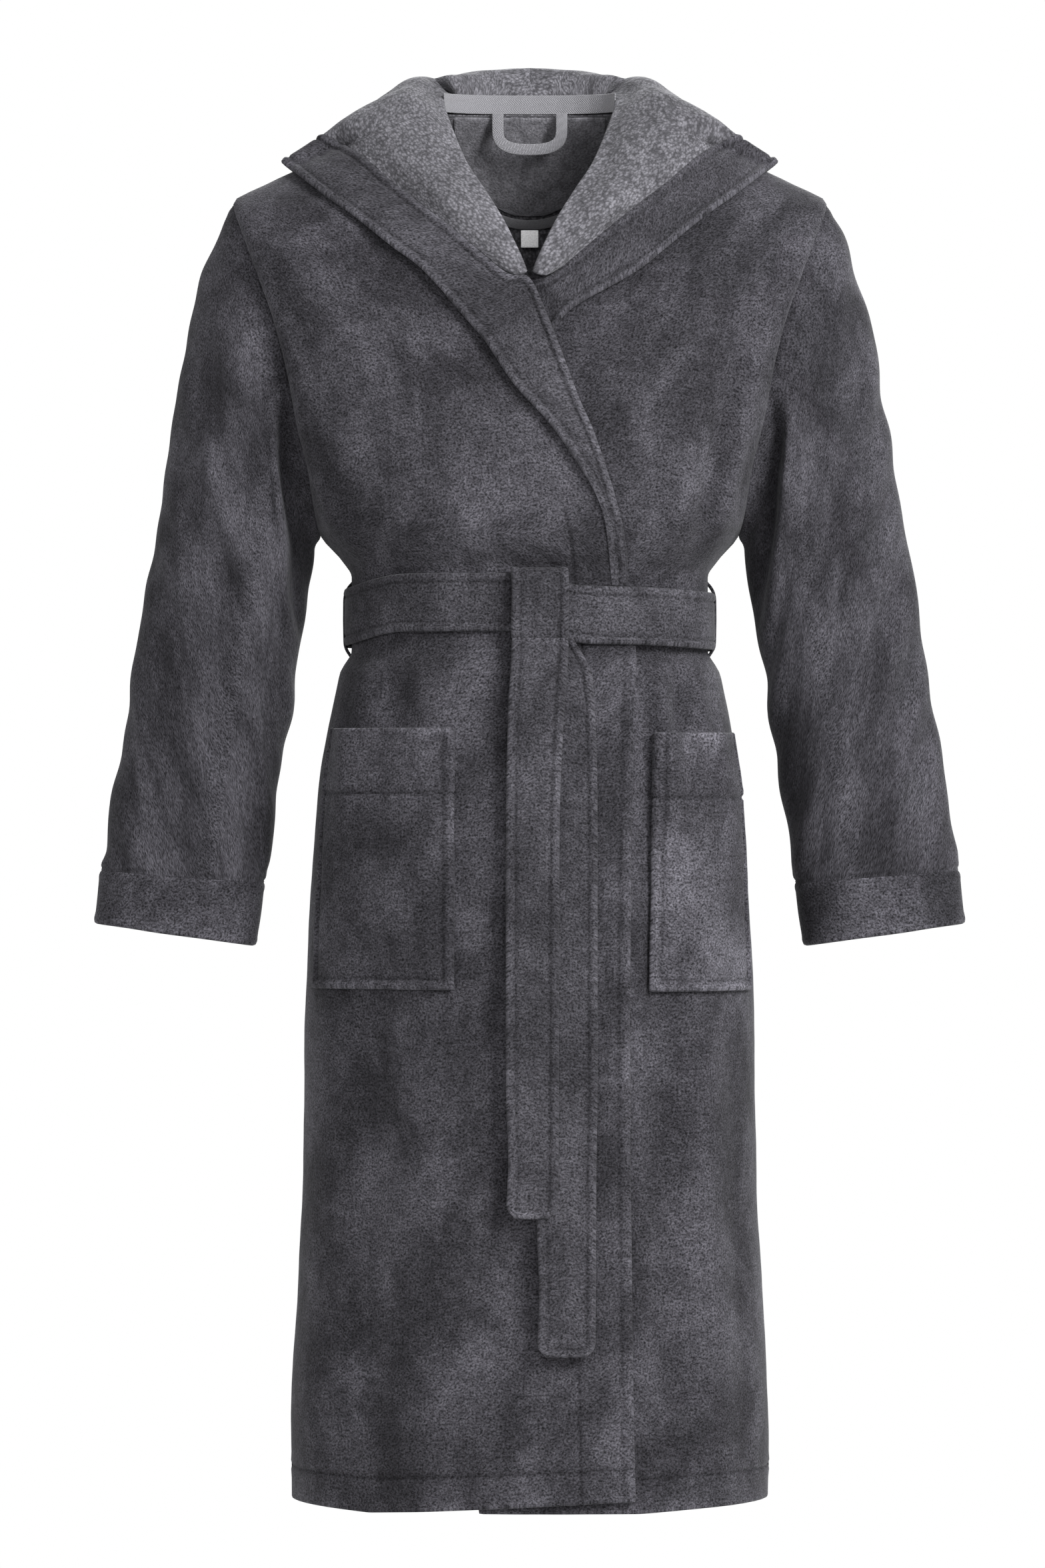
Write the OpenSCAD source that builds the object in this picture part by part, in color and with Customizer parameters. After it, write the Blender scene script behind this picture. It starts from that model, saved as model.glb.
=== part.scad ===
// Hooded velour bathrobe, closed and belted, as it hangs on a wearer.
// Millimetres. +Z up, +Y towards the wearer's back, +X towards the wearer's left.
// The origin is the line in the back neck where the hanger loop is sewn on.

/* [Cloth] */
// Thickness of the velour towelling
cloth_t = 3.5; // [2.5:0.5:3.5]
// Height of the sewn line of the hanger loop above the hem
neck_h = 1238; // [1236:1:1242]

/* [Body] */
// Half width of the skirt at the hem
hem_half = 212; // [205:1:216]
// Half width at the belt
waist_half = 158; // [156:1:160]
// Depth of the front at the hem, from the side seams forward
hem_front = 155; // [150:1:158]
// Depth of the back at the hem, from the side seams back
hem_back = 152; // [148:1:156]
// How far the upper front lies ahead of the lower one
lap_lift = 8.5; // [8.5:0.5:9.5]

/* [Pockets] */
// Height of the pocket mouth above the hem
pocket_top = 686; // [680:1:690]
// Height of the pocket's lower edge above the hem
pocket_low = 460; // [455:1:470]
// How far the empty pouch stands open at its mouth
pocket_gape = 14; // [12:1:15]

/* [Belt] */
// Width of the belt
belt_w = 46; // [42:1:46]
// Thickness of the belt, two cloths sewn together
belt_t = 4.5; // [4:0.5:4.5]
// Height of the lower end of the front tail above the hem
tail_front_end = 261; // [250:1:300]
// Height of the lower end of the back tail above the hem
tail_back_end = 140; // [130:1:180]

/* [Hood] */
// Height of the lowest fold of the hood above the hem
hood_low = 985; // [980:1:1000]
// How far the two layers of the hood lie apart at the centre
hood_open = 27; // [24:1:30]

/* [Neck] */
// Width of the herringbone neck tape
tape_w = 16; // [14:1:18]
// Width of the strip of the hanger loop
loop_strip = 9; // [8:0.5:10]
// Side of the square size label
label_side = 15; // [12:1:18]

/* [Hidden] */

velour = "#4c4b50";
terry = "#5d5c62";
tape_col = "#66656b";
origin = [0, 52, neck_h];
P_SQ = 2.4;     // squareness of the body's cross-section
EPS_RING = 0.9; // squareness of a sleeve's cross-section
kx = hem_half / 212;

// half width of the body over height
XT = [[0, 211 * kx], [60, 212 * kx], [120, 210 * kx], [195, 206 * kx], [270, 202], [360, 200], [440, 199],
      [510, 196], [590, 191], [640, 187], [687, 179], [720, 172], [738, 168], [757, waist_half], [822, waist_half],
      [837, 167], [860, 186], [918, 196], [958, 206], [1001, 214], [1045, 225], [1083, 238], [1125, 254],
      [1154, 263], [1170, 235], [1180, 214], [1200, 168], [1220, 122], [1239, 82]];
// depth of the front and of the back at the centre line over height
FT = [[0, hem_front], [200, 150], [400, 145], [600, 138], [700, 125], [742, 118], [758, 111], [826, 111],
      [842, 119], [870, 126], [918, 128], [1001, 120], [1045, 113], [1083, 106], [1113, 97], [1145, 80],
      [1172, 58], [1200, 32], [1220, 14], [1239, 4]];
BT = [[0, hem_back], [200, 148], [400, 142], [600, 134], [700, 118], [742, 105], [758, 98], [826, 98],
      [842, 106], [870, 114], [918, 121], [1001, 124], [1083, 117], [1120, 110], [1154, 100], [1180, 88],
      [1200, 80], [1220, 70], [1239, 60]];
// the front edge of the upper front, and the hidden edge of the lower front
ET = [[0, 91], [40, 90], [426, 86], [700, 90], [750, 92], [811, 85], [836, 84], [863, 80], [886, 74], [903, 69],
      [924, 62], [944, 55], [976, 41], [1011, 28], [1040, 18], [1085, -3], [1113, -19], [1145, -37], [1179, -58],
      [1200, -68], [1226, -76], [1239, -79]];
UT = [[0, 43], [426, 56], [750, 79], [811, 79], [940, 45], [1085, -3], [1102, -10], [1127, -29], [1154, -45],
      [1180, -62], [1204, -70], [1228, -76], [1239, -79]];

function sg(a) = a < 0 ? -1 : 1;
function sq(c) = pow(max(0, 1 - pow(min(1, abs(c)), P_SQ)), 1 / P_SQ);
function smooth(t) = let (u = min(1, max(0, t))) u * u * (3 - 2 * u);
function hx(z) = lookup(z, XT);
function arm(z) = (z <= 861 || z >= 1153) ? 0
    : 70 * pow(1 - pow(abs((z - 1007) / 147), 2 / EPS_RING), EPS_RING / 2);
function fy(x, z) = -(arm(z) + (lookup(z, FT) - arm(z)) * sq(x / hx(z)));
function by(x, z) = arm(z) + (lookup(z, BT) - arm(z)) * sq(x / hx(z));
// lift of the upper front over the lower one; it starts at the wearer's right side seam
function lap(x) = lap_lift * smooth((x + 150) / 70);

// angle round the body at which the section reaches x, from 0 at the side seam
function ang(x, z) = let (c = min(0.9995, abs(x) / hx(z)), a = acos(pow(c, P_SQ / 2))) x > 0 ? 180 - a : a;
function cx(a) = sg(cos(a)) * pow(abs(cos(a)), 2 / P_SQ);
function sx(a) = pow(max(0, sin(a)), 2 / P_SQ);
function fpt(a, z) = [-hx(z) * cx(a), -(arm(z) + (lookup(z, FT) - arm(z)) * sx(a)), z];
function bpt(a, z) = [-hx(z) * cx(a), arm(z) + (lookup(z, BT) - arm(z)) * sx(a), z];

// ---- sheets of cloth: a grid of points, thickened along its normals ----
function unit(v) = v / max(norm(v), 1e-9);
function gn(G, i, j) = let (m = len(G) - 1, n = len(G[0]) - 1,
    a = G[min(i + 1, m)][j] - G[max(i - 1, 0)][j], b = G[i][min(j + 1, n)] - G[i][max(j - 1, 0)]) unit(cross(a, b));
function gnc(G, i, j) = let (m = len(G) - 1, n = len(G[0]),
    a = G[min(i + 1, m)][j] - G[max(i - 1, 0)][j], b = G[i][(j + 1) % n] - G[i][(j + n - 1) % n]) unit(cross(a, b));

module sheet(G, d0, d1, sym = false) {
    m = len(G); n = len(G[0]); k = m * n;
    pts = [for (d = [min(d0, d1), max(d0, d1)]) for (i = [0:m - 1]) for (j = [0:n - 1]) G[i][j] + d * gn(G, i, j)];
    faces = [
        for (i = [0:m - 2]) for (j = [0:n - 2]) let (a = i * n + j, b = a + 1, c = a + n + 1, d = a + n)
            each (sym && G[i][j][0] + G[i][j + 1][0] > 0
                ? [[k + a, k + b, k + d], [k + b, k + c, k + d], [a, d, b], [b, d, c]]
                : [[k + a, k + b, k + c], [k + a, k + c, k + d], [a, c, b], [a, d, c]]),
        for (i = [0:m - 2]) let (a = i * n, d = a + n, b = a + n - 1, c = d + n - 1)
            each [[a, k + a, k + d], [a, k + d, d], [b, k + c, k + b], [b, c, k + c]],
        for (j = [0:n - 2]) let (a = j, b = j + 1, c = (m - 1) * n + j, d = c + 1)
            each [[a, k + b, k + a], [a, b, k + b], [c, k + c, k + d], [c, k + d, d]]];
    polyhedron(points = pts, faces = faces, convexity = 8);
}

// the same for a sheet that closes on itself across its columns, such as a sleeve
module ring_sheet(G, d0, d1) {
    m = len(G); n = len(G[0]); k = m * n;
    pts = [for (d = [min(d0, d1), max(d0, d1)]) for (i = [0:m - 1]) for (j = [0:n - 1]) G[i][j] + d * gnc(G, i, j)];
    faces = [
        for (i = [0:m - 2]) for (j = [0:n - 1]) let (a = i * n + j, b = i * n + (j + 1) % n, c = b + n, d = a + n)
            each [[k + a, k + b, k + c], [k + a, k + c, k + d], [a, c, b], [a, d, c]],
        for (j = [0:n - 1]) let (a = j, b = (j + 1) % n, c = (m - 1) * n + j, d = (m - 1) * n + (j + 1) % n)
            each [[a, k + b, k + a], [a, b, k + b], [c, k + c, k + d], [c, k + d, d]]];
    polyhedron(points = pts, faces = faces, convexity = 8);
}

// smooth curve through a list of points, t from 0 to len - 1
function cr(L, t) = let (n = len(L) - 1, i = min(floor(t), n - 1), u = t - i, p1 = L[i], p2 = L[i + 1],
    p0 = i > 0 ? L[i - 1] : 2 * p1 - p2, p3 = i + 2 <= n ? L[i + 2] : 2 * p2 - p1)
    0.5 * (2 * p1 + (p2 - p0) * u + (2 * p0 - 5 * p1 + 4 * p2 - p3) * u * u + (3 * p1 - p0 - 3 * p2 + p3) * u * u * u);
function mirx(G) = [for (r = G) [for (p = r) [-p[0], p[1], p[2]]]];
function fliprows(G) = [for (i = [len(G) - 1:-1:0]) G[i]];

module placed() { translate(-origin) children(); }

// ---- body ----
Z_BODY = [0, 50, 130, 220, 320, 420, 520, 600, 660, 700, 738, 757, 784, 810, 826, 845, 870, 918, 970, 1020, 1070,
          1113, 1140, 1153, 1166, 1180, 1200, 1220, 1236];

Z_FRONT = [for (z = Z_BODY) if (z < 1205) z];

module back_panel() {
    G = [for (z = Z_BODY) [for (j = [0:18]) bpt(0.15 + j * (179.7 / 18), z)]];
    color(velour) placed() sheet(G, 0, -cloth_t, true);
}

function over_row(z, n) = let (e = ang(lookup(z, ET), z)) [for (j = [0:n])
    let (a = 0.15 + (e - 0.15) * j / n, p = fpt(a, z)) [p[0], p[1] - lap(p[0]), z]];
module front_panel_over() {
    G = [for (z = Z_FRONT) over_row(z, 16)];
    color(velour) placed() sheet(G, 0, cloth_t);
}

function under_row(z, n) = let (e = ang(lookup(z, UT), z)) [for (j = [0:n]) fpt(0.15 + (e - 0.15) * j / n, z)];
module front_panel_under() {
    G = mirx([for (z = Z_FRONT) under_row(z, 16)]);
    color(velour) placed() sheet(G, 0, -cloth_t);
}

// double cloth turned in along the front edges
Z_FACE = [for (z = Z_BODY) if (z < 850) z];
module facing_over() {
    G = [for (z = Z_FACE) let (e = lookup(z, ET)) [for (j = [0:4]) let (x = e - 45 + j * 10.8) [x, fy(x, z) - cloth_t - 0.4, z]]];
    color(velour) placed() sheet(G, 0, lap_lift - cloth_t - 2);
}
module facing_under() {
    G = [for (z = [for (z = Z_BODY) if (z < 1030) z]) let (e = -lookup(z, UT)) [for (j = [0:4]) let (x = e + 1.5 + j * 10.8)
        [x, fy(x, z) + cloth_t + 0.8, z]]];
    color(velour) placed() sheet(G, 0, cloth_t);
}

// ---- pockets ----
function pouch(u, v) = pocket_gape * pow(max(0, sin(180 * u)), 0.7) * pow(v, 0.8);
module pocket_right() {
    G = [for (i = [0:9]) let (v = i / 9, z = pocket_low + (pocket_top - pocket_low) * v, e = ang(-67, z))
        [for (j = [0:10]) let (u = j / 10, a = 21 + (e - 21) * u, p = fpt(a, z), q = fpt(a + 1, z),
            nv = unit([q[1] - p[1], -(q[0] - p[0]), 0]), s = nv[1] > 0 ? -1 : 1)
            p + [0, -lap(p[0]), 0] + s * nv * (cloth_t + 1 + pouch(u, v))]];
    color(velour) placed() sheet(G, 0, cloth_t - 0.5);
}
module pocket_left() {
    G = mirx([for (i = [0:9]) let (v = i / 9, z = pocket_low - 2 + (pocket_top - 4 - pocket_low) * v, e = ang(-108, z))
        [for (j = [0:10]) let (u = j / 10, a = 4 + (e - 4) * u, p = fpt(a, z), q = fpt(a + 1, z),
            nv = unit([q[1] - p[1], -(q[0] - p[0]), 0]), s = nv[1] > 0 ? -1 : 1)
            p + s * nv * (cloth_t + 1 + pouch(u, v))]]);
    color(velour) placed() sheet(G, 0, -(cloth_t - 0.5));
}

// ---- belt ----
// height of the belt's centre line over x, along the front
BZ = [[-165, 785], [-107, 798], [-15, 798], [50, 787], [100, 786], [165, 782]];
function belt_pt(a, s) = let (x = -waist_half * cx(a), front = sin(a) >= 0,
    y = front ? -(111 * sx(a) + lap(x) + 1.2) : 98 * pow(-sin(a), 2 / P_SQ) + 0.9, out = 1.3 * pow(abs(cos(a)), 2),
    zc = front ? lookup(x, BZ) : 783.5 + 1.5 * cos(a))
    [x + sg(x) * out, y, zc + s * belt_w / 2];
module belt_waist() {
    G = [for (s = [-1, 1]) [for (j = [0:47]) belt_pt(j * 7.5 + 3.75, s)]];
    color(velour) placed() ring_sheet(G, 0, -belt_t);
}

// the wrap that closes the tie: it passes over the front and the top of the belt
module belt_knot() {
    color(velour) placed() translate([-14, 0, 0]) rotate([90, 0, 90]) linear_extrude(46)
        polygon([[-126.2, 769.5], [-128.5, 767], [-133.5, 767], [-135.6, 770], [-136, 790], [-136, 816], [-133.5, 824], [-128, 826.8],
                 [-121, 826.8], [-121, 822.8], [-125, 821.8], [-126.2, 818]]);
}

module belt_loop(s) {
    color(velour) placed() translate([0, -6, 0]) rotate([90, 0, 0]) mirror([0, 0, 1]) linear_extrude(12)
        polygon([for (p = [[164.5, 752], [167.5, 749], [171, 756], [172, 770], [172, 798], [171, 812], [168, 820],
                 [165.5, 818], [168.6, 811], [169.6, 798], [169.6, 770], [168.6, 757]]) [s * p[0], p[1]]]);
}
module belt_loop_right() { belt_loop(-1); }
module belt_loop_left() { belt_loop(1); }

// the two ends of the belt hang from the knot, one over the other
TAIL1_L = [[261, -19], [315, -17], [374, -19], [600, -19], [705, -17], [763, -14]];
TAIL1_R = [[261, 22], [300, 23], [600, 24], [705, 28], [763, 32]];
TAIL2_L = [[139, 8], [195, 10], [261, 8], [600, 8], [700, 6], [735, -2], [763, -8]];
TAIL2_R = [[139, 55], [300, 56], [374, 57], [625, 57], [700, 55], [735, 52], [750, 46], [763, 38]];
module tail(z0, TL, TR, dy) {
    G = [for (i = [0:20]) let (z = z0 + (761.5 - z0) * i / 20, r = max(0, 1 - (z - z0) / 14), c = 9 * r * r,
        l = lookup(z, TL) + c, w = lookup(z, TR) - c - l)
        [for (j = [0:4]) let (x = l + w * j / 4) [x, fy(20, min(z, 758)) - dy, z]]];
    color(velour) placed() sheet(G, 0, 3.6);
}
module belt_tail_front() { tail(tail_front_end, TAIL1_L, TAIL1_R, 24.7); }
module belt_tail_back() { tail(tail_back_end, TAIL2_L, TAIL2_R, 20.5); }

// ---- neck ----
function npt(a, d, z) = [-(82 + d) * cx(a), (60 + d) * sx(a), z];
module neck_tape() {
    G = [for (z = [neck_h - 1, neck_h - 1 + tape_w]) [for (j = [0:14]) npt(20 + j * (140 / 14), -2.4, z)]];
    color(tape_col) placed() sheet(G, 0, 1);
}
// half-moon of cloth on the inside of the back, below the tape
function moon(k, j, r0, r1) = let (t = 180 * j / 20, r = r0 + (r1 - r0) * k, x = -r * cos(t) * 0.98, z = neck_h - 4 - r * sin(t))
    [x, by(x, z) - 1.4, z];
module neck_yoke() {
    G = [for (k = [0:4]) [for (j = [0:16]) let (u = -1 + j / 8, z = neck_h - 6 - 84 * k / 4,
        w = 67 * sqrt(max(0.02, 1 - pow(0.985 * k / 4, 2))), x = w * u) [x, by(x, z) - cloth_t - 2.1, z]]];
    color(velour) placed() sheet(G, 0, 2);
}
module yoke_binding() {
    G = [for (k = [0:1]) [for (j = [0:20]) let (t = 13 + 154 * j / 20, r = 91 + 7 * k, x = -r * cos(t) * 0.87, z = neck_h - 4 - r * sin(t))
        [x, by(x, z) - cloth_t - 1.8, z]]];
    color(tape_col) placed() sheet(G, 0, 2);
}
module size_label() {
    y0 = by(0, neck_h - 103) - cloth_t - 6;
    color("#e8e8ea") placed() translate([-label_side / 2, y0, neck_h - 103 - label_side]) cube([label_side, 0.8, label_side]);
}
module hanger_loop() {
    h = 31; w = 33;
    color(tape_col) placed() translate([0, 51.2, neck_h - 1.4]) rotate([90, 0, 0]) mirror([0, 0, 1]) linear_extrude(1.4) difference() {
        hull() {
            translate([-w, -4]) square([2 * w, 4]);
            translate([-w + 14, -h + 12]) circle(r = 12, $fn = 32);
            translate([w - 14, -h + 12]) circle(r = 12, $fn = 32);
        }
        hull() {
            translate([-w + loop_strip, -3]) square([2 * (w - loop_strip), 4]);
            translate([-w + 14 + loop_strip * 0.45, -h + 12 + loop_strip * 0.55]) circle(r = 12 - loop_strip * 0.55, $fn = 32);
            translate([w - 14 - loop_strip * 0.45, -h + 12 + loop_strip * 0.55]) circle(r = 12 - loop_strip * 0.55, $fn = 32);
        }
    }
}

// ---- lapels: the front of the hood turned out over the shoulders ----
// each row: fold edge, two points of the looped side, seam of the band, edge of the band; the third number is y,
// or the gap ahead of the body where it is marked by 999
LAP_R = [[[85, 820], [71, 822]], [[80, 863], [66, 866]], [[69, 903], [55, 899]], [[55, 944], [38, 928]], [[41, 976], [17, 957]],
         [[28, 1011], [-9, 985]], [[12, 1052], [-24, 1006]], [[-1, 1083], [-38, 1028]]];
LAP_TOP_R = [ // fold edge [x, y, z], mid, mid, seam [x, z], band edge [x, z]
    [[-6, -121, 1092], [-11, -121, 1090], [-16, -120, 1088], [-21, 1088], [-52, 1044]],
    [[-25, -104, 1130], [-36, -110, 1127], [-48, -112, 1124], [-59, 1120], [-90, 1088]],
    [[-42, -84, 1158], [-57, -94, 1155], [-74, -98, 1150], [-90, 1145], [-118, 1110]],
    [[-58, -60, 1183], [-78, -73, 1182], [-100, -77, 1177], [-120, 1169], [-150, 1136]],
    [[-70, -26, 1212], [-96, -42, 1214], [-125, -46, 1208], [-151, 1196], [-182, 1160]],
    [[-79, 14, 1238], [-108, -2, 1250], [-148, -14, 1232], [-178, 1213], [-216, 1188]],
    [[-77, 36, 1247], [-104, 40, 1262], [-146, 42, 1238], [-178, 1208], [-208, 1183]],
    [[-68, 50, 1249], [-90, 72, 1266], [-126, 84, 1244], [-156, 1205], [-180, 1168]]];
function lap_y(x, z, side) = fy(x, z) - (side < 0 ? lap(x) : 0) - 4.6 - 4 * smooth((z - 1150) / 40);
module lapel(side) {
    R = LAP_TOP_R;
    G = [for (i = [0:2 * (len(R) - 1)]) [for (j = [0:6]) let (t = 0.2 + i * 0.4857,
        row = [for (k = [0:3]) cr([for (r = R) k < 3 ? r[k] : [r[3][0], 0, r[3][1]]], t)],
        back = smooth((t - 5) / 2),
        yo = lap_y(row[3][0], row[3][2], side) * (1 - back) + back * (t > 6 ? 60 + 34 * (t - 6) : 60 * (t - 5)),
        q = [row[0], row[1], row[2], [row[3][0], yo, row[3][2]]], p = cr(q, j / 2)) p]];
    H = side < 0 ? G : [for (r = G) [for (p = r) [-p[0], p[1], p[2]]]];
    color(terry) placed() sheet(H, 0, side < 0 ? 3 : -3);
}
module lapel_right() { lapel(-1); }
module lapel_left() { lapel(1); }
module lapel_band(side) {
    R = LAP_TOP_R;
    top = [for (i = [0:2 * (len(R) - 1)]) let (t = i / 2, s = cr([for (r = R) r[3]], t), o = cr([for (r = R) r[4]], t), back = smooth((t - 5) / 2),
        ys = lap_y(s[0], s[1], side) * (1 - back) + back * (t > 6 ? 60 + 34 * (t - 6) : 60 * (t - 5)),
        yo = lap_y(o[0], o[1], side) * (1 - back) + back * (t > 6 ? 55 + 38 * (t - 6) : 55 * (t - 5)),
        s3 = [s[0], ys, s[1]], o3 = [o[0], yo, o[1]], d = unit(o3 - s3))
        [for (j = [0:4]) let (p = s3 + d * 3.4 + (o3 - s3) * j / 4.1, yy = t <= 5 ? lap_y(p[0], p[2], side) : p[1]) [p[0], yy, p[2]]]];
    low = side < 0 ? [for (r = LAP_R) [for (j = [0:4]) let (x = r[0][0] + (r[1][0] - r[0][0]) * j / 4, z = r[0][1] + (r[1][1] - r[0][1]) * j / 4)
        [x, lap_y(x, z, side), z]]]
        : [[for (j = [0:4]) let (x = -5 - 21 * j / 4, z = 1094 - 47 * j / 4) [x, lap_y(x, z, side), z]]];
    G = concat(low, top);
    H = side < 0 ? G : mirx(G);
    color(velour) placed() sheet(H, 0, side < 0 ? 3.5 : -3.5);
}
module lapel_band_right() { lapel_band(-1); }
module lapel_band_left() { lapel_band(1); }

// ---- hood, laid back ----
TOPZ = [[0, 1277], [48, 1273], [90, 1265], [112, 1258], [135, 1246], [150, 1236]];
module hood_collar() {
    G = [for (j = [0:16]) let (a = 40 + j * 6.25, c = cx(a), s = sx(a), zt = lookup(76 * abs(c) * 1.25, TOPZ))
        [for (q = [[0, 0], [1, 0.4], [7, 0.78], [16, 1], [25, 1]]) [-(82 + q[0]) * c, (60 + q[0]) * s, 1241 + (zt - 1241) * q[1]]]];
    color(terry) placed() sheet(G, 0, -3, true);
}
// stations from the side of the bag to its centre: x, fold height, gap between the layers
BAG = [[148, 1112, 14], [128, 1062, 17], [98, 1026, 21], [52, 998, 25], [1, hood_low, hood_open]];
function bag_y(x, z) = max(by(x, min(z, 1200)) + 13, 113);
function bag_path(b) = let (x = -b[0], zf = b[1], g = b[2], zt = lookup(b[0], TOPZ), zm = (1180 + zf) / 2)
    [[x, 100, zt], [x, 109, zt - 6], [x, 117 - b[0] * 0.02, zt - 24], [x, bag_y(x, 1190) + 3, 1190], [x, bag_y(x, zm), zm],
     [x, bag_y(x, zf + 22), zf + 22], [x, bag_y(x, zf) + g / 2, zf], [x, bag_y(x, zf + 22) + g, zf + 22],
     [x, bag_y(x, zm) + g + 4, zm], [x, bag_y(x, 1190) + g + 2, 1182 - b[0] * 0.1]];
module hood_half(side) {
    G = [for (k = [0:8]) let (q = [for (n = [0:9]) cr([for (b = BAG) bag_path(b)[n]], k / 2)]) [for (j = [0:18]) cr(q, j / 2)]];
    color(velour) placed() sheet(side < 0 ? G : mirx(G), 0, side < 0 ? -3 : 3);
}
module hood_half_right() { hood_half(-1); }
module hood_half_left() { hood_half(1); }
module hood_band(side) {
    G = [for (k = [0:8]) let (e = cr([for (b = BAG) bag_path(b)[9]], k / 2)) [for (j = [0:3]) e + [0, -0.4 * j, 0.6 + j * (12.5 - 0.5 * abs(k - 4) * 0)]]];
    color(velour) placed() sheet(side < 0 ? G : mirx(G), 0, side < 0 ? -3 : 3);
}
module hood_band_right() { hood_band(-1); }
module hood_band_left() { hood_band(1); }

// ---- sleeves: rings from the armhole to the wrist: outer edge x, z, inner edge x, z, half depth ----
SL = [[-264, 1151, -190, 861, 70], [-284, 1112, -191, 842, 71], [-301, 1045, -195, 812, 70], [-315, 970, -200, 780, 67],
      [-329, 885, -206, 744, 63], [-343, 800, -213, 700, 59], [-357, 712, -221, 648, 55], [-370, 632, -229, 596, 52],
      [-381, 562, -235, 551, 49], [-386, 518, -243, 498, 47]];
function ring(t, n) = let (s = cr(SL, t), o = [s[0], 0, s[1]], i = [s[2], 0, s[3]], c = (o + i) / 2, h = (o - i) / 2)
    [for (j = [0:n - 1]) let (a = 360 * j / n, ce = sg(cos(a)) * pow(abs(cos(a)), EPS_RING), se = sg(sin(a)) * pow(abs(sin(a)), EPS_RING))
        c + h * ce + [0, s[4] * se, 0]];
module sleeve(side) {
    G = [for (k = [0:15]) ring(0.07 + k * (7.9 / 15), 24)];
    color(velour) placed() ring_sheet(side < 0 ? G : mirx(G), 0, side < 0 ? cloth_t : -cloth_t);
}
module sleeve_right() { sleeve(-1); }
module sleeve_left() { sleeve(1); }
module cuff(side) {
    G = [for (k = [0:3]) ring(7.99 + k * (1.01 / 3), 24)];
    color(velour) placed() ring_sheet(side < 0 ? G : mirx(G), side < 0 ? -1 : 1, side < 0 ? cloth_t + 0.5 : -cloth_t - 0.5);
}
module cuff_right() { cuff(-1); }
module cuff_left() { cuff(1); }

back_panel();
front_panel_over();
front_panel_under();
facing_over();
facing_under();
pocket_right();
pocket_left();
belt_waist();
belt_knot();
belt_loop_right();
belt_loop_left();
belt_tail_front();
belt_tail_back();
neck_tape();
neck_yoke();
yoke_binding();
size_label();
hanger_loop();
lapel_right();
lapel_left();
lapel_band_right();
lapel_band_left();
hood_collar();
hood_half_right();
hood_half_left();
hood_band_right();
hood_band_left();
sleeve_right();
sleeve_left();
cuff_right();
cuff_left();
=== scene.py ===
"""The looks of the hooded velour bathrobe: cloth pieces in mesh code, procedural velour and terry, soft studio light."""
import math

import bpy
import numpy as np
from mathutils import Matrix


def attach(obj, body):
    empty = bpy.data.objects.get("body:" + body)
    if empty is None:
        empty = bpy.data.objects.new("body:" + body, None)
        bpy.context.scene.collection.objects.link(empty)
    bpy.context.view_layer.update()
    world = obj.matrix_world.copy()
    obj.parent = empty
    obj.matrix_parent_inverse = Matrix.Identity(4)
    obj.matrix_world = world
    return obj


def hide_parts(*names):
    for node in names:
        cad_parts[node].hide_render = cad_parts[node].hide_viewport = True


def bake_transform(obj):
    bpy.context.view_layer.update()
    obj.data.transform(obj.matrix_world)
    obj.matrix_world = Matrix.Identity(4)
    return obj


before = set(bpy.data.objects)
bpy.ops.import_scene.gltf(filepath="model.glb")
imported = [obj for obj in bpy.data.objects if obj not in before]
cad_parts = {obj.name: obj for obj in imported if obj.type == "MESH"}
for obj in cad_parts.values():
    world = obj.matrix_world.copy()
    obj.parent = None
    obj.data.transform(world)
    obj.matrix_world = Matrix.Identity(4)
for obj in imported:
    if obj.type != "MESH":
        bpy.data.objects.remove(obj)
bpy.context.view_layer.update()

# ------------------------------------------------------------------ shape tables, millimetres above the hem
ORIGIN = np.array([0.0, 52.0, 1238.0])
CLOTH = 3.5
WAIST = 158.0
LAP_LIFT = 8.5
BELT_W = 46.0
BELT_T = 4.5
P_SQ = 2.4
EPS_RING = 0.9


def curve(rows):
    """Smooth monotone curve through a table of (x, y)."""
    a = np.array(rows, float)
    x, y = a[:, 0], a[:, 1]
    h = np.diff(x)
    d = np.diff(y) / h
    m = np.zeros(len(x))
    m[0], m[-1] = d[0], d[-1]
    for i in range(1, len(x) - 1):
        if d[i - 1] * d[i] > 0:
            w1, w2 = 2 * h[i] + h[i - 1], h[i] + 2 * h[i - 1]
            m[i] = (w1 + w2) / (w1 / d[i - 1] + w2 / d[i])

    def f(q):
        q = np.clip(np.asarray(q, float), x[0], x[-1])
        i = np.clip(np.searchsorted(x, q, side="right") - 1, 0, len(x) - 2)
        t = (q - x[i]) / h[i]
        return (y[i] * (1 + 2 * t) * (1 - t) ** 2 + m[i] * h[i] * t * (1 - t) ** 2
                + y[i + 1] * t * t * (3 - 2 * t) + m[i + 1] * h[i] * t * t * (t - 1))
    return f


hx = curve([[0, 211], [60, 212], [120, 210], [195, 206], [270, 202], [360, 200], [440, 199], [510, 196], [590, 191],
            [640, 187], [687, 179], [720, 172], [738, 168], [757, WAIST], [822, WAIST], [837, 167], [860, 186],
            [918, 196], [958, 206], [1001, 214], [1045, 225], [1083, 238], [1125, 254], [1154, 263], [1170, 235],
            [1180, 214], [1200, 168], [1220, 122], [1239, 82]])
ft = curve([[0, 155], [200, 150], [400, 145], [600, 138], [700, 125], [742, 118], [758, 111], [826, 111], [842, 119],
            [870, 126], [918, 128], [1001, 120], [1045, 113], [1083, 106], [1113, 97], [1145, 80], [1172, 58],
            [1200, 32], [1220, 14], [1239, 4]])
bt = curve([[0, 152], [200, 148], [400, 142], [600, 134], [700, 118], [742, 105], [758, 98], [826, 98], [842, 106],
            [870, 114], [918, 121], [1001, 124], [1083, 117], [1120, 110], [1154, 100], [1180, 88], [1200, 80],
            [1220, 70], [1239, 60]])
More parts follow.
